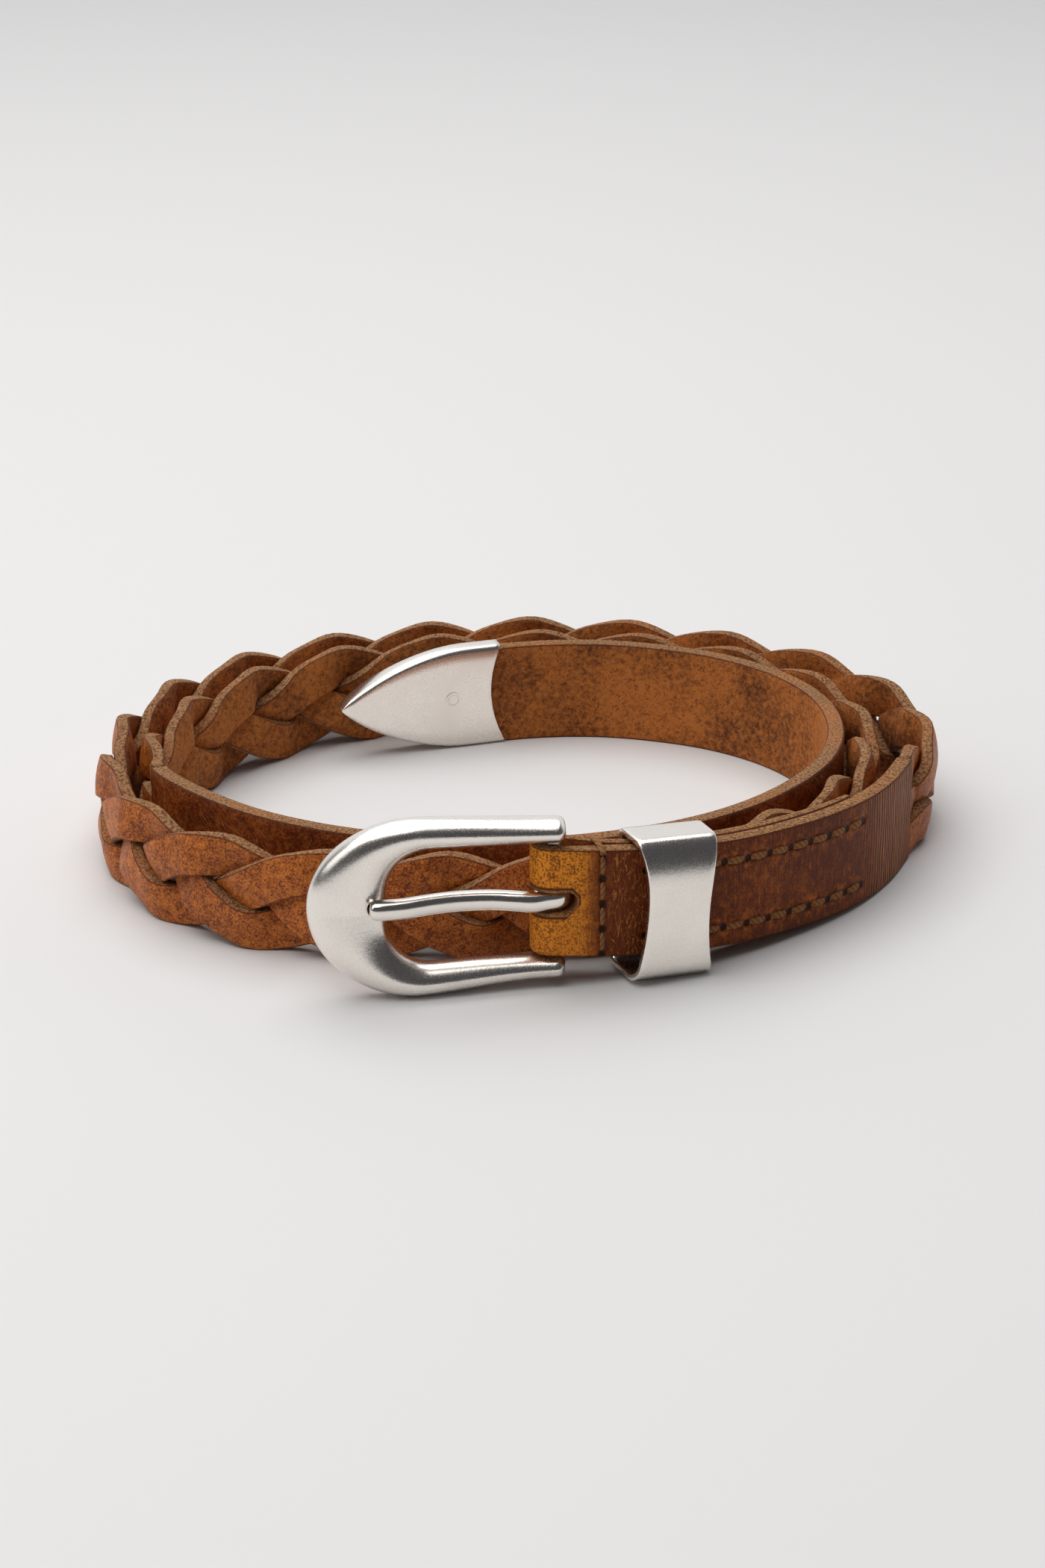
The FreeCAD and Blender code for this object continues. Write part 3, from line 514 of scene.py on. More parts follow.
def bandRing(middle, across, outward, profile, along, bend=0.0, creased=0.0):
    return [(middle + across * point[0] + outward * point[1], along * mm, point[0] * mm,
             point[2], bend, creased) for point in profile]


# woven strands

weave = {
    "strandWidth": 7.7,
    "strandThickness": 3.0,
    "wave": 61.2,
    "rise": 1.85,
    "roll": 0.16,
    "third": 0.2,
    "lead": 8.0,
    "step": 1.3,
    "crown": 0.30,
    "endNarrowing": 0.75,
    "edgePull": 0.22 / 6.4,
    "grainShift": 240,    # keeps the strands' grain from repeating side by side
}

routeStep = 0.5
braidAngles = spread(strap["tabEnd"], strap["braidEnd"],
                     int((strap["braidEnd"] - strap["tabEnd"]) / routeStep))
braidLengths = [0.0]
for before, after in zip(braidAngles[:-1], braidAngles[1:]):
    braidLengths.append(braidLengths[-1] + (routePoint(after) - routePoint(before)).length)
braidLength = braidLengths[-1]
weaveLength = braidLength - 2 * weave["lead"]
weaveWave = 6 * weaveLength / (2 * round(3 * weaveLength / weave["wave"]))


def braidAngle(length):
    low, high = 0, len(braidLengths) - 1
    while high - low > 1:
        middle = (low + high) // 2
        if braidLengths[middle] <= length:
            low = middle
        else:
            high = middle
    part = (length - braidLengths[low]) / (braidLengths[high] - braidLengths[low])
    return braidAngles[low] + part * routeStep


def weaveOffset(strand, length):
    phase = 2 * math.pi * ((length - weave["lead"]) / weaveWave + strand / 3)
    sideways = (strap["width"] - weave["strandWidth"]) / 2 * math.sin(phase)
    outward = weave["rise"] * (math.sin(2 * phase) + weave["third"] * math.sin(6 * phase))
    return sideways, outward, weave["roll"] * math.cos(3 * phase)


def strandOffset(strand, length):
    lead = weave["lead"]
    if lead <= length <= braidLength - lead:
        return weaveOffset(strand, length)
    atStart = length < lead
    join = lead if atStart else braidLength - lead
    end = 0.0 if atStart else braidLength
    joined = weaveOffset(strand, join)
    nudged = weaveOffset(strand, join + (0.01 if atStart else -0.01))
    side = 0 if abs(joined[0]) < 0.1 else math.copysign(1, joined[0])
    flat = (side * strap["width"] / 3, 0.0, 0.0)
    part = abs(length - end) / lead
    joinWeight = 3 * part**2 - 2 * part**3
    slopeWeight = part**3 - part**2
    return tuple(flat[item] * (1 - joinWeight) + joined[item] * joinWeight
                 + slopeWeight * lead * (nudged[item] - joined[item]) / 0.01 for item in range(3))


def strandMiddle(strand, length):
    sideways, outward = strandOffset(strand, length)[:2]
    return routePoint(braidAngle(length), outward, strap["width"] / 2 + sideways)


def buildStrand(strand, material):
    bm = bmesh.new()
    rings = []
    for length in spread(0.0, braidLength, round(braidLength / weave["step"])):
        middle = strandMiddle(strand, length)
        angle = braidAngle(length)
        if 0.3 < length < braidLength - 0.3:
            run = (strandMiddle(strand, length + 0.2) - strandMiddle(strand, length - 0.2)).normalized()
        else:
            run = routeTravel(angle)
        outward = routeOutward(angle)
        offset = strandOffset(strand, length)
        across = outward.cross(run).normalized() + outward * offset[2]
        across = (across - run * across.dot(run)).normalized()
        face = across.cross(run).normalized()
        if face.dot(outward) < 0:
            face = -face
        fromEnd = min(length, braidLength - length) / weave["lead"]
        width = weave["strandWidth"] - weave["endNarrowing"] * (1 - smooth(fromEnd))
        profile = bandProfile(width, weave["strandThickness"], strap["edgeRound"], weave["crown"], 4)
        bend = weave["edgePull"] * abs(offset[0])
        rings.append(bandRing(middle, across, face, profile,
                              length + weave["grainShift"] * strand, bend))
    sweepRings(bm, rings)
    newPiece("wovenStrand%d" % (strand + 1), bm, material, "strap",
             ["braid_strand_%d" % (strand + 1)])


# the tab: back layer, fold and front layer

stitching = {
    "rowStart": 0.0,      # set once the tab's length is known
    "crossAlong": 0.0,
    "pitch": 5.0,
    "inset": 3.8,
    "count": 10,
    "rowAngle": -71.5,
    "crossAngle": -78.3,
    "threadWidth": 1.35,
    "threadHeight": 0.95,
    "crossLow": 0.6,
    "crossPitch": 4.75,
    "crossSlim": 0.72,    # the cross stitch is thinner than the rows
    "wobble": 0.12,
}

buckle = {
    "barRadius": 1.5,
    "barLength": 25.6,
    "foldGap": 0.1,
    "turn": 4.5,
    "length": 43.4,
    "halfHeight": 16.0,
    "endHalfHeight": 14.8,
    "curl": 1.6,          # how far the wide end comes forward
    "lean": 2.2,          # and its lower half beyond that
    "beyondBar": 0.8,
    "bend": 23.0,
    "windowHalf": 10.5,
    "windowLength": 28.8,
    "windowCorner": 8.0,
    "front": 4.35,
    "back": -1.15,
    "prongRadius": 1.78,
    "slotHeight": 4.0,
    "slotReach": 3.7,
    "cutterReach": 9.0,
    "seat": (30.4, 4.6, 0.7),     # left of the bar, in front of it, up
    "seatGap": 0.2,
    "prongSquare": 0.86,  # below one, the prong's section is squarer than round
}

barInset = strap["foldThickness"] / 2 + buckle["foldGap"] + buckle["barRadius"]
bar = routePoint(strap["tabStart"], -barInset, strap["lift"] + strap["width"] / 2)
buckleTurn = Matrix.Rotation(math.radians(buckle["turn"]), 3, "Z")


def bucklePoint(left, front, height=0.0):
    lean = buckle["lean"] * max(0.0, -height / buckle["halfHeight"])
    forward = front + (buckle["curl"] + lean) * smooth(left / buckle["windowLength"])
    return bar + buckleTurn @ Vector((-left, -forward, height))


def frontFaces(angle):
    part = min(1.0, (angle - strap["tabStart"]) / strap["thickenOver"])
    half = (strap["foldThickness"] + (strap["thickness"] - strap["foldThickness"]) * part) / 2
    return half, -half


def backFaces(angle):
    ease = smooth((angle - strap["tabStart"]) / strap["closeOver"])
    gap = 2 * (buckle["barRadius"] + buckle["foldGap"]) * (1 - ease) + strap["layerGap"] * ease
    skive = max(0.0, (angle - strap["skiveStart"]) / (strap["backLayerEnd"] - strap["skiveStart"]))
    thick = strap["foldThickness"] + (strap["skived"] - strap["foldThickness"]) * skive
    outer = frontFaces(angle)[1] - gap
    return outer, outer - thick


def buildTab():
    start = strap["tabStart"]
    bm = bmesh.new()
    spans = []       # (middle, outward, thickness, lift, bend, creased)
    backAngles = list(reversed(spread(start, strap["backLayerEnd"], 40)))
    for angle in backAngles:
        outer, inner = backFaces(angle)
        spans.append((routePoint(angle, (outer + inner) / 2), -routeOutward(angle), outer - inner,
                      tabLift(angle), 0.55 * (1 - smooth((angle - start) / 12)), 0.0))
    bendRadius = buckle["barRadius"] + buckle["foldGap"]
    middleRadius = bendRadius + strap["foldThickness"] / 2
    for turn in spread(0, math.pi, 18)[1:-1]:
        around = routeOutward(start) * -math.cos(turn) - routeTravel(start) * math.sin(turn)
        flatBar = Vector((bar.x, bar.y, 0))
        spans.append((flatBar + around * middleRadius, around, strap["foldThickness"],
                      strap["lift"], 0.95, 0.0))
    for angle in spread(start, strap["tabEnd"], 64):
        outer, inner = frontFaces(angle)
        bend = 0.95 - 0.8 * smooth((angle - start) / 10.0)
        bend = bend * (1 - smooth((angle + 79.0) / 3.0))
        creased = smooth((angle + 30.0) / 12.0)
        spans.append((routePoint(angle, (outer + inner) / 2), routeOutward(angle), outer - inner,
                      tabLift(angle), bend + 0.16 * creased, creased))
    lengths = [0.0]
    for before, after in zip(spans[:-1], spans[1:]):
        lengths.append(lengths[-1] + (after[0] - before[0]).length)
    foldLength = lengths[len(backAngles) + 8]
    frontStart = lengths[len(backAngles) + 17] - foldLength
    rings = []
    for span, length in zip(spans, lengths):
        middle, outward, thick, lift, bend, creased = span
        profile = bandProfile(strap["width"], thick, min(strap["edgeRound"], thick * 0.28), 0.06, 12)
        rings.append(bandRing(middle + up * (lift + strap["width"] / 2), up, outward, profile,
                              length - foldLength, bend, creased))
    sweepRings(bm, rings)

    def alongOf(angle):
        walked = 0.0
        steps = spread(start, angle, 40)
        for before, after in zip(steps[:-1], steps[1:]):
            walked += (routePoint(after) - routePoint(before)).length
        return frontStart + walked

    stitching["rowStart"] = alongOf(stitching["rowAngle"])
    stitching["crossAlong"] = alongOf(stitching["crossAngle"])
    # the leather needs to know where the stitches are
    material = leatherMaterial("tabLeather", tone=0.36, specks=0.12, streaks=1.0, stitched=True)
    cutSlot(newPiece("strapTab", bm, material, "strap", ["buckle_tab"]))


def cutSlot(piece):
    # a round-ended slot through the fold, for the prong
    bm = bmesh.new()
    half = buckle["slotHeight"] / 2
    travel = routeTravel(strap["tabStart"])
    outward = routeOutward(strap["tabStart"])
    reach = buckle["cutterReach"]
    outline = [(-reach, -half), (-reach, half)]
    for turn in spread(90, -90, 10):
        outline.append((buckle["slotReach"] - half + half * math.cos(math.radians(turn)),
                        half * math.sin(math.radians(turn))))
    verts = [bm.verts.new((bar + travel * point[0] + up * point[1] - outward * reach) * mm)
             for point in outline]
    face = bm.faces.new(verts)
    grown = bmesh.ops.extrude_face_region(bm, geom=[face])["geom"]
    bmesh.ops.translate(bm, vec=outward * 2 * reach * mm, verts=onlyVerts(grown))
    cutAway(piece, newObject("slotCutter", bm))


def cutAway(piece, cutter):
    cut = piece.modifiers.new("cut", "BOOLEAN")
    cut.object = cutter
    cut.solver = "EXACT"
    shaped = piece.evaluated_get(bpy.context.evaluated_depsgraph_get())
    result = bpy.data.meshes.new_from_object(shaped)
    result.name = piece.name
    piece.modifiers.clear()
    piece.data = result
    bpy.data.objects.remove(cutter)


# the plain tail

def buildTail(material):
    bm = bmesh.new()
    rings = []
    length = 0.0
    middle = routePoint(strap["braidEnd"], 0, strap["width"] / 2)
    profile = bandProfile(strap["width"], strap["thickness"], strap["edgeRound"], 0.05, 10)
    for angle in spread(strap["braidEnd"], strap["tipStart"], 190):
        previous, middle = middle, routePoint(angle, 0, strap["width"] / 2)
        length += (middle - previous).length
        rings.append(bandRing(middle, up, routeOutward(angle), profile, length + strap["tailGrain"]))
    narrow = bandProfile(strap["width"] - strap["tongueNarrower"],
                         strap["thickness"] - strap["tongueThinner"], strap["edgeRound"], 0.02, 10)
    for step in strap["tongue"]:
        rings.append(bandRing(middle + tipTravel() * step, up, rightOf(tipTravel()), narrow,
                              length + step + strap["tailGrain"]))
    sweepRings(bm, rings)
    newPiece("tailStrap", bm, material, "strap", ["tail_strap"])


# stitches

def stitchRings(start, end, outward, seed, slim=1.0):
    run = (end - start).normalized()
    lift = outward.cross(run).normalized()
    length = (end - start).length
    rings = []
    for part in spread(0, 1, 8):
        arch = math.sin(math.pi * part)
        size = (0.45 + 0.55 * arch**0.6) * slim
        middle = start + run * (length * part) + outward * (-0.55 + 0.62 * arch**0.7)
        ring = []
        for cosine, sine in circle(10):
            point = (middle + lift * (cosine * stitching["threadWidth"] / 2 * size)
                     + outward * (sine * stitching["threadHeight"] / 2 * size))
            ring.append((point, (length * part + seed) * mm, cosine * 0.6 * mm))
        rings.append(ring)
    return rings


def stitchFaces(angle):
    # where a stitch lies and which way it faces, on the front of the tab and on the back
    outward = routeOutward(angle)
    return (frontFaces(angle)[0], outward), (backFaces(angle)[1], -outward)


def buildStitches(material):
    def forward(angle, length):
        return angle + math.degrees(length / routeRadius(angle))

    rows = (("upperStitchRow", "upper_stitch_row", strap["width"] - stitching["inset"]),
            ("lowerStitchRow", "lower_stitch_row", stitching["inset"]))
    for name, node, height in rows:
        bm = bmesh.new()
        angle = stitching["rowAngle"]
        for number in range(stitching["count"]):
            end = forward(angle, stitching["pitch"] * 0.93)
            begin = forward(angle, stitching["pitch"] * 0.07)
            wobble = stitching["wobble"] * math.sin(number * 2.3 + height)
            for offset, outward in stitchFaces(angle):
                rings = stitchRings(routePoint(begin, offset, tabLift(begin) + height + wobble),
                                    routePoint(end, offset, tabLift(end) + height - wobble * 0.7),
                                    outward, number * 3.7)
                sweepRings(bm, rings)
            angle = forward(angle, stitching["pitch"])
        newPiece(name, bm, material, "strap", [node])
    bm = bmesh.new()
    angle = stitching["crossAngle"]
    low = tabLift(angle)
    heights = [stitching["crossLow"] + stitching["crossPitch"] * number for number in range(5)]
    for bottom, top in zip(heights[:-1], heights[1:]):
        for offset, outward in stitchFaces(angle):
            rings = stitchRings(routePoint(angle, offset, low + bottom + 0.2),
                                routePoint(angle, offset, low + top - 0.2), outward, bottom,
                                stitching["crossSlim"])
            sweepRings(bm, rings)
    over = []        # the last stitch turns over the top edge
    front, back = frontFaces(angle)[0], backFaces(angle)[1]
    for part in spread(0, 1, 10):
        offset = front + 0.25 + (back - front - 0.5) * part
        rise = strap["width"] - 0.6 + 0.9 * math.sin(math.pi * part)**0.5
        middle = routePoint(angle, offset, low + rise)
        ring = []
        facing = up * math.sin(math.pi * part) + routeOutward(angle) * math.cos(math.pi * part)
        for cosine, sine in circle(10):
            point = middle + routeTravel(angle) * cosine * 0.6 + facing * sine * 0.42
            ring.append((point, part * 6 * mm, cosine * 0.6 * mm))
        over.append(ring)
    sweepRings(bm, over)
    newPiece("crossStitch", bm, material, "strap", ["cross_stitch"])


# buckle frame, bar and prong

def frameEdges():
    # pairs of (inner, outer) points from the upper arm's end round to the lower arm's end
    left = buckle["length"] - buckle["beyondBar"]
    half, endHalf = buckle["halfHeight"], buckle["endHalfHeight"]
    window, corner = buckle["windowHalf"], buckle["windowCorner"]
    length, bend = buckle["windowLength"], buckle["bend"]
    upper = []
    for part in spread(0, 1, 16):
        reach = -buckle["beyondBar"] + part * (length - corner + buckle["beyondBar"])
        blend = smooth((reach + buckle["beyondBar"]) / (bend + buckle["beyondBar"]))
        upper.append(((reach, window), (reach * bend / (length - corner) if reach > 0 else reach,
                                        endHalf + (half - endHalf) * blend)))
    arc = corner * math.pi / 2
    straight = window - corner
    for part in spread(0, 1, 26)[1:]:
        walked = part * (arc + straight)
        if walked < arc:
            turn = walked / corner
            inner = (length - corner + corner * math.sin(turn),
                     window - corner + corner * math.cos(turn))
        else:
            inner = (length, straight - (walked - arc))
        sweep = math.pi / 2 * part
        outer = (bend + (left - bend) * math.sin(sweep), half * math.cos(sweep))
        upper.append((inner, outer))
    lower = [((inner[0], -inner[1]), (outer[0], -outer[1])) for inner, outer in reversed(upper[:-1])]
    return upper + lower


def buildFrame(material):
    bm = bmesh.new()
    pairs = frameEdges()
    rings = []
    front, back = buckle["front"], buckle["back"]
    parting = back + (front - back) * 0.36

    def frameRing(inner, outer, shrink, shift):
        middle = ((inner[0] + outer[0]) / 2 + shift, (inner[1] + outer[1]) / 2)
        reach = ((outer[0] - inner[0]) / 2 * shrink, (outer[1] - inner[1]) / 2 * shrink)
        ring = []
        for cosine, sine in circle(28):
            power = 1.0 if sine > 0 else 2 / 3.4
            across = math.copysign(abs(cosine)**power, cosine)
            depth = abs(sine)**power
            height = (parting + (front - parting) * depth * shrink if sine > 0
                      else parting - (parting - back) * depth * shrink)
            point = bucklePoint(middle[0] + reach[0] * across, height,
                                middle[1] + reach[1] * across)
            ring.append((point,))
        return ring

    armEnd = ((0.30, -1.35), (0.62, -1.20), (0.84, -0.8), (0.96, -0.3))     # rounds an arm off
    for shrink, shift in armEnd:
        rings.append(frameRing(*pairs[0], shrink, shift))
    for inner, outer in pairs:
        rings.append(frameRing(inner, outer, 1.0, 0.0))
    for shrink, shift in reversed(armEnd):
        rings.append(frameRing(*pairs[-1], shrink, shift))
    sweepRings(bm, rings)
    piece = newPiece("buckleFrame", bm, material, "buckle", ["buckle_frame"])
    divide = piece.modifiers.new("divide", "SUBSURF")
    divide.levels = 2
    divide.render_levels = 2
    cutSeat(piece)


def cutSeat(piece):
    # the hollow in the wide end that the prong's tip lies in
    bm = bmesh.new()
    radius = buckle["prongRadius"] + buckle["seatGap"]
    bmesh.ops.create_uvsphere(bm, u_segments=24, v_segments=16, radius=radius * mm)
    bmesh.ops.bisect_plane(bm, geom=bm.verts[:] + bm.edges[:] + bm.faces[:], plane_co=(0, 0, 0),
                           plane_no=(1, 0, 0), clear_outer=True)
    rim = [edge for edge in bm.edges if edge.is_boundary]
    grown = bmesh.ops.extrude_edge_only(bm, edges=rim)["geom"]
    bmesh.ops.translate(bm, vec=(buckle["cutterReach"] * mm, 0, 0), verts=onlyVerts(grown))
    bmesh.ops.holes_fill(bm, edges=[edge for edge in bm.edges if edge.is_boundary], sides=0)
    place = Matrix.Translation(bucklePoint(*buckle["seat"]) * mm)
    bmesh.ops.transform(bm, matrix=place @ buckleTurn.to_4x4(), verts=bm.verts)
    cutAway(piece, newObject("seatCutter", bm))
    piece.data.shade_smooth()


def throughPoints(points, steps):
    # a smooth run of points through a few chosen ones
    run = []
    for index in range(len(points) - 1):
        before = points[max(index - 1, 0)]
        low, high = points[index], points[index + 1]
        after = points[min(index + 2, len(points) - 1)]
        for step in range(steps):
            part = step / steps
            run.append(tuple(
                0.5 * (2 * low[item] + (high[item] - before[item]) * part
                       + (2 * before[item] - 5 * low[item] + 4 * high[item] - after[item]) * part**2
                       + (3 * low[item] - before[item] - 3 * high[item] + after[item]) * part**3)
                for item in range(len(low))))
    run.append(tuple(points[-1]))
    return run


def buildProng(material):
    # each stop: left of the bar, in front of it, up, half width, half depth
    stops = [
        (31.8, 4.30, 0.7, 0.5, 0.5), (31.65, 4.30, 0.7, 1.1, 1.1), (31.2, 4.30, 0.7, 1.55, 1.5),
        (30.4, 4.28, 0.7, 1.74, 1.68), (29.2, 4.22, 0.7, 1.78, 1.72), (25.7, 3.80, 0.7, 1.78, 1.72),
        (21.5, 2.90, 0.8, 1.78, 1.72), (17.0, 2.35, 0.85, 1.78, 1.74), (11.0, 2.30, 0.7, 1.78, 1.74),
        (6.0, 2.75, 0.3, 1.80, 1.74), (3.4, 3.00, 0.0, 1.80, 1.50), (1.2, 2.95, 0.05, 1.62, 1.05),
        (-0.9, 2.60, 0.0, 1.50, 0.82), (-2.2, 1.45, 0.0, 1.50, 0.80), (-2.5, 0.0, 0.0, 1.60, 0.80),
        (-1.9, -1.55, 0.0, 1.60, 0.80), (-0.3, -2.40, 0.0, 1.60, 0.80), (1.3, -2.10, 0.0, 1.60, 0.80),
        (2.35, -1.05, 0.0, 1.55, 0.75), (2.65, -0.30, 0.0, 1.2, 0.5),
    ]
    run = throughPoints(stops, 4)
    bm = bmesh.new()
    rings = []
    for index, stop in enumerate(run):
        before = run[max(index - 1, 0)]
        after = run[min(index + 1, len(run) - 1)]
        travel = Vector((after[0] - before[0], after[1] - before[1], 0)).normalized()
        if index < 6:
            travel = Vector((-1, 0, 0))
        normal = Vector((-travel.y, travel.x, 0))
        ring = []
        for cosine, sine in circle(20):
            wide = math.copysign(abs(cosine)**buckle["prongSquare"], cosine) * stop[3]
            deep = math.copysign(abs(sine)**buckle["prongSquare"], sine) * stop[4]
            ring.append((bucklePoint(stop[0] + normal.x * deep, stop[1] + normal.y * deep,
                                     stop[2] + wide),))
        rings.append(ring)
    sweepRings(bm, rings)
    newPiece("bucklePin", bm, material, "prong", ["prong"])


def buildBar(material):
    bm = bmesh.new()
    radius = buckle["barRadius"] * mm
    bmesh.ops.create_cone(bm, cap_ends=True, segments=32, radius1=radius, radius2=radius,
                          depth=buckle["barLength"] * mm)
    rims = [edge for edge in bm.edges if abs(edge.verts[0].co.z - edge.verts[1].co.z) < 1e-6]
    bmesh.ops.bevel(bm, geom=rims, offset=0.25 * mm, segments=2, profile=0.5, affect="EDGES",
                    material=-1)
    bmesh.ops.translate(bm, vec=bar * mm, verts=bm.verts)
    newPiece("buckleBar", bm, material, "buckle", ["buckle_bar"])


# keeper

keeper = {
    "angle": -67.5,
    "backRadius": 58.3,
    "width": 15.0,
    "waist": 11.7,
    "depth": 12.3,
    "height": 25.8,
    "drop": 0.75,
    "wall": 1.15,
    "round": 3.3,
    "shoulder": (9.5, 4.2),   # height and depth of the front's soft top
    "tilt": 3.6,
}


def buildKeeper(material):
    # a flat sheet's outline carried round a rounded rectangle, narrow at half height
    halfDepth, halfHeight, bend = keeper["depth"] / 2, keeper["height"] / 2, keeper["round"]
    loop = []
    for cornerDepth, cornerHeight, begin in ((1, 1, 0), (-1, 1, 90), (-1, -1, 180), (1, -1, 270)):
        tall, deep = keeper["shoulder"] if begin == 0 else (bend, bend)
        for turn in spread(begin, begin + 90, 9):
            loop.append((cornerDepth * (halfDepth - deep) + deep * math.cos(math.radians(turn)),
                         cornerHeight * (halfHeight - tall) + tall * math.sin(math.radians(turn))))
    full = []
    for index, point in enumerate(loop):
        after = loop[(index + 1) % len(loop)]
        gap = math.hypot(after[0] - point[0], after[1] - point[1])
        pieces = max(1, round(gap / 1.4))
        for step in range(pieces):
            part = step / pieces
            full.append((point[0] + (after[0] - point[0]) * part,
                         point[1] + (after[1] - point[1]) * part))
    angle = keeper["angle"]
    travel, outward = routeTravel(angle), routeOutward(angle)
    tilt = Matrix.Rotation(math.radians(keeper["tilt"]), 3, -outward)
    origin = (coilCentre + polar(angle, keeper["backRadius"])
              + up * (tabLift(angle) + strap["width"] / 2 - keeper["drop"]))
    sideWays, upWays = tilt @ travel, tilt @ up

    def place(run, depth, height):
        return origin + sideWays * run + outward * (halfDepth + depth) + upWays * height

    bm = bmesh.new()
    rings = []
    for column in spread(-1, 1, 12):
        ring = []
        for depth, height in full:
            reach = abs(height) / halfHeight
            half = keeper["waist"] / 2 + (keeper["width"] - keeper["waist"]) / 2 * min(1.0, reach)**2.0
            ring.append((place(column * half, depth, height),))
        rings.append(ring)
    sweepRings(bm, rings, closeEnds=False)
    piece = newPiece("strapKeeper", bm, material, "keeper", ["keeper"])
    wall = piece.modifiers.new("wall", "SOLIDIFY")
    wall.thickness = keeper["wall"] * mm
    wall.offset = -1
    soften = piece.modifiers.new("soften", "BEVEL")
    soften.width = 0.28 * mm
    soften.segments = 3
    soften.limit_method = "ANGLE"
    soften.angle_limit = math.radians(50)


# metal tip and its rivet

tip = {
    "length": 34.0,
    "straight": 8.5,      # how far in from the open end the sides stay parallel
    "middle": 10.5,       # of its height, above the floor
    "height": 20.9,
    "depth": 4.6,
    "notch": 2.6,
    "lean": 0.5,
    "wall": 0.62,
    "setback": 11.1,
    "rivetRadius": 1.5,
    "rivetProud": 0.24,
}


def tipTravel():
    return routeTravel(strap["tipStart"] + 7.0)


def tipPoint(run, inward, height):
    start = routePoint(strap["tipStart"], 0, tip["middle"])
    return start + tipTravel() * run - rightOf(tipTravel()) * inward + up * height


def buildTip(material):
    # stations along the tip: a hollow sleeve that closes to a point
    bm = bmesh.new()
    half = tip["height"] / 2
    halfDepth = tip["depth"] / 2
    rings = []

    def halfAt(run):
        if run <= tip["straight"]:
            return half
        part = (run - tip["straight"]) / (tip["length"] - tip["straight"])
        return half * (1 - part**1.75)**0.80

    def tipRing(run, scale, bow):
        high = max(halfAt(run) * scale, 0.15)
        deep = halfDepth * (0.72 + 0.28 * min(1.0, high / 4.0)) * scale
        corner = min(0.95, high * 0.4)
        spots = []
        rounding = ((1, 0.29, 0.29), (1, 0, 1), (-1, 0, 1), (-1, 0.29, 0.29))
        for face in (1, -1):
            for part in spread(-1, 1, 8):
                spots.append((face * part * (high - corner), face * deep))
            for facing, lessHigh, lessDeep in rounding:
                spots.append((face * (high - corner * lessHigh),
                              face * facing * (deep - corner * lessDeep)))
        ring = []
        for height, inward in spots:
            curve = (tip["notch"] * (1 - (height / half)**2) + tip["lean"] * (1 + height / half)) * bow
            ring.append((tipPoint(run + curve, inward, height),))
        return ring

    inside = (1 - tip["wall"] / half) * 0.985
    straight = tip["straight"]
    for run in (9.0, 4.0, 0.25):
        rings.append(tipRing(run, inside, 1.0))
    rings.append(tipRing(0.0, 0.985, 1.0))
    rings.append(tipRing(0.05, 1.0, 1.0))
    for run in (1.0, 2.5, 4.5, 6.5, straight):
        rings.append(tipRing(run, 1.0, max(0.0, 1 - run / straight)))
    for part in spread(0, 1, 22)[1:]:
        run = straight + (tip["length"] - straight) * math.sin(part * math.pi / 2)
        rings.append(tipRing(min(run, tip["length"] - 0.02), 1.0, 0.0))
    sweepRings(bm, rings)
    newPiece("tailTip", bm, material, "strap", ["tip_shell"])


def buildRivet(material):
    bm = bmesh.new()
    radius = tip["rivetRadius"] * mm
    bmesh.ops.create_cone(bm, cap_ends=True, segments=36, radius1=radius, radius2=radius,
                          depth=(tip["depth"] + tip["rivetProud"]) * mm)
    for end in [face for face in bm.faces if len(face.verts) > 8]:
        for inward, raised in ((0.30, 0.0), (0.12, -0.30), (0.14, 0.26)):
            bmesh.ops.inset_region(bm, faces=[end], thickness=inward * mm, depth=raised * mm)
    turn = up.rotation_difference(rightOf(tipTravel())).to_matrix().to_4x4()
    bmesh.ops.transform(bm, matrix=Matrix.Translation(tipPoint(tip["setback"], 0, 0) * mm) @ turn,
                        verts=bm.verts)
    newPiece("tipRivet", bm, material, "strap", ["tip_rivet"], smoothShade=False)


# build everything

print("strands")
braidLeather = leatherMaterial("braidLeather", tone=0.62, specks=0.55, gloss=0.26)
for strand in range(3):
    buildStrand(strand, braidLeather)

print("tab and tail")
buildTab()
buildTail(leatherMaterial("tailLeather", tone=0.42, specks=0.25, gloss=0.24, slants=0.5))

print("stitches")
buildStitches(threadMaterial("waxedThread"))

print("metal")
plated = nickelMaterial("satinNickel")
buildFrame(plated)
buildBar(plated)
buildProng(nickelMaterial("polishedPin", 0.17, 0.6))
buildKeeper(plated)
tipMetal = nickelMaterial("tipNickel", 0.27, 0.8)
buildTip(tipMetal)
buildRivet(tipMetal)


# floor, light and camera

studio = {
    "floorColour": (0.80, 0.795, 0.795),
    "floorShade": (0.77, 0.76, 0.755),
    "worldDark": (0.06, 0.06, 0.065),
    "worldBright": (0.80, 0.81, 0.83),
    "camera": Vector((0.40, -651.2, 275.85)),
    "pitch": 22.125,
    "lens": 85.71,
    # name, place, target, width, height, power, colour
    "lights": (
        ("overhead", (-0.24, 0.13, 1.12), (0, 0.02, 0), 1.9, 1.3, 17.6, (1.0, 0.99, 0.975)),
        ("left", (-1.2, -0.5, 0.7), (0, 0, 0), 0.7, 0.7, 2.0, (1.0, 0.99, 0.98)),
    ),
}


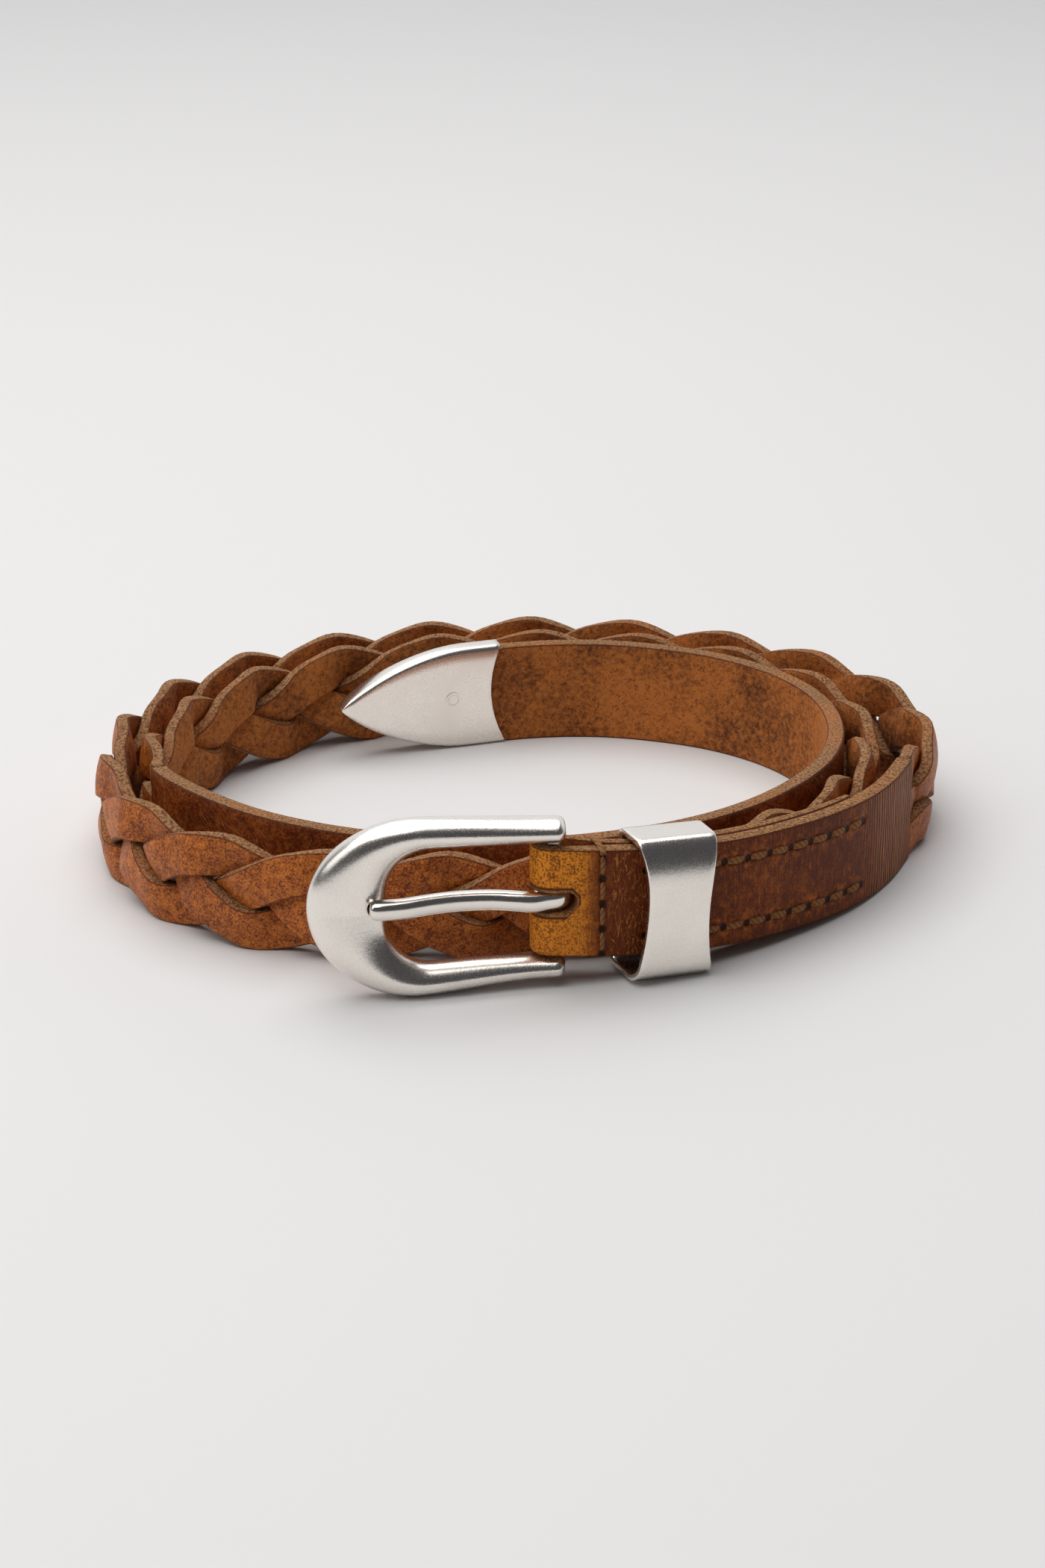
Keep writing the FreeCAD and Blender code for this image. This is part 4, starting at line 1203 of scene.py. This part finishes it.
def buildFloor():
    bm = bmesh.new()
    bmesh.ops.create_grid(bm, x_segments=2, y_segments=2, size=3.0)
    floor = newObject("floor", bm)
    shader = Shader("floorPaper")
    cloud = shader.noise(shader.place(), 3.0, 2.0)
    colour = shader.mix(cloud * 0.2, studio["floorColour"], studio["floorShade"])
    floor.data.materials.append(shader.finish(Base_Color=colour, Roughness=0.85))


def addArea(name, place, target, wide, high, power, colour):
    light = bpy.data.lights.new(name, "AREA")
    light.shape = "RECTANGLE"
    light.size = wide
    light.size_y = high
    light.energy = power
    light.color = colour
    lamp = bpy.data.objects.new(name, light)
    lamp.location = place
    lamp.rotation_euler = (Vector(target) - Vector(place)).to_track_quat("-Z", "Y").to_euler()
    scene.collection.objects.link(lamp)


def lightAndCamera():
    # a bright wall behind the object, and a dark room round it and above it
    world = bpy.data.worlds.new("studio")
    world.use_nodes = True
    nodes, links = world.node_tree.nodes, world.node_tree.links
    facing = nodes.new("ShaderNodeSeparateXYZ")
    links.new(nodes.new("ShaderNodeTexCoord").outputs["Generated"], facing.inputs[0])
    both = nodes.new("ShaderNodeMath")
    both.operation = "MULTIPLY"
    for slot, (axis, low, high) in enumerate((("Y", 0.05, 0.55), ("Z", 0.80, 0.55))):
        ramp = nodes.new("ShaderNodeMapRange")
        ramp.inputs["From Min"].default_value = low
        ramp.inputs["From Max"].default_value = high
        links.new(facing.outputs[axis], ramp.inputs["Value"])
        links.new(ramp.outputs["Result"], both.inputs[slot])
    shade = nodes.new("ShaderNodeMix")
    shade.data_type = "RGBA"
    colours = [item for item in shade.inputs if item.type == "RGBA"]
    colours[0].default_value = tuple(studio["worldDark"]) + (1.0,)
    colours[1].default_value = tuple(studio["worldBright"]) + (1.0,)
    links.new(both.outputs[0], shade.inputs[0])
    links.new(next(item for item in shade.outputs if item.type == "RGBA"),
              nodes["Background"].inputs["Color"])
    scene.world = world
    for light in studio["lights"]:
        addArea(*light)
    camera = bpy.data.cameras.new("view")
    camera.lens = studio["lens"]
    camera.clip_start = 0.01
    holder = bpy.data.objects.new("view", camera)
    holder.location = studio["camera"] * mm
    holder.rotation_euler = (math.radians(90 - studio["pitch"]), 0, 0)
    scene.collection.objects.link(holder)
    scene.camera = holder
    scene.view_settings.view_transform = "Standard"


buildFloor()
lightAndCamera()
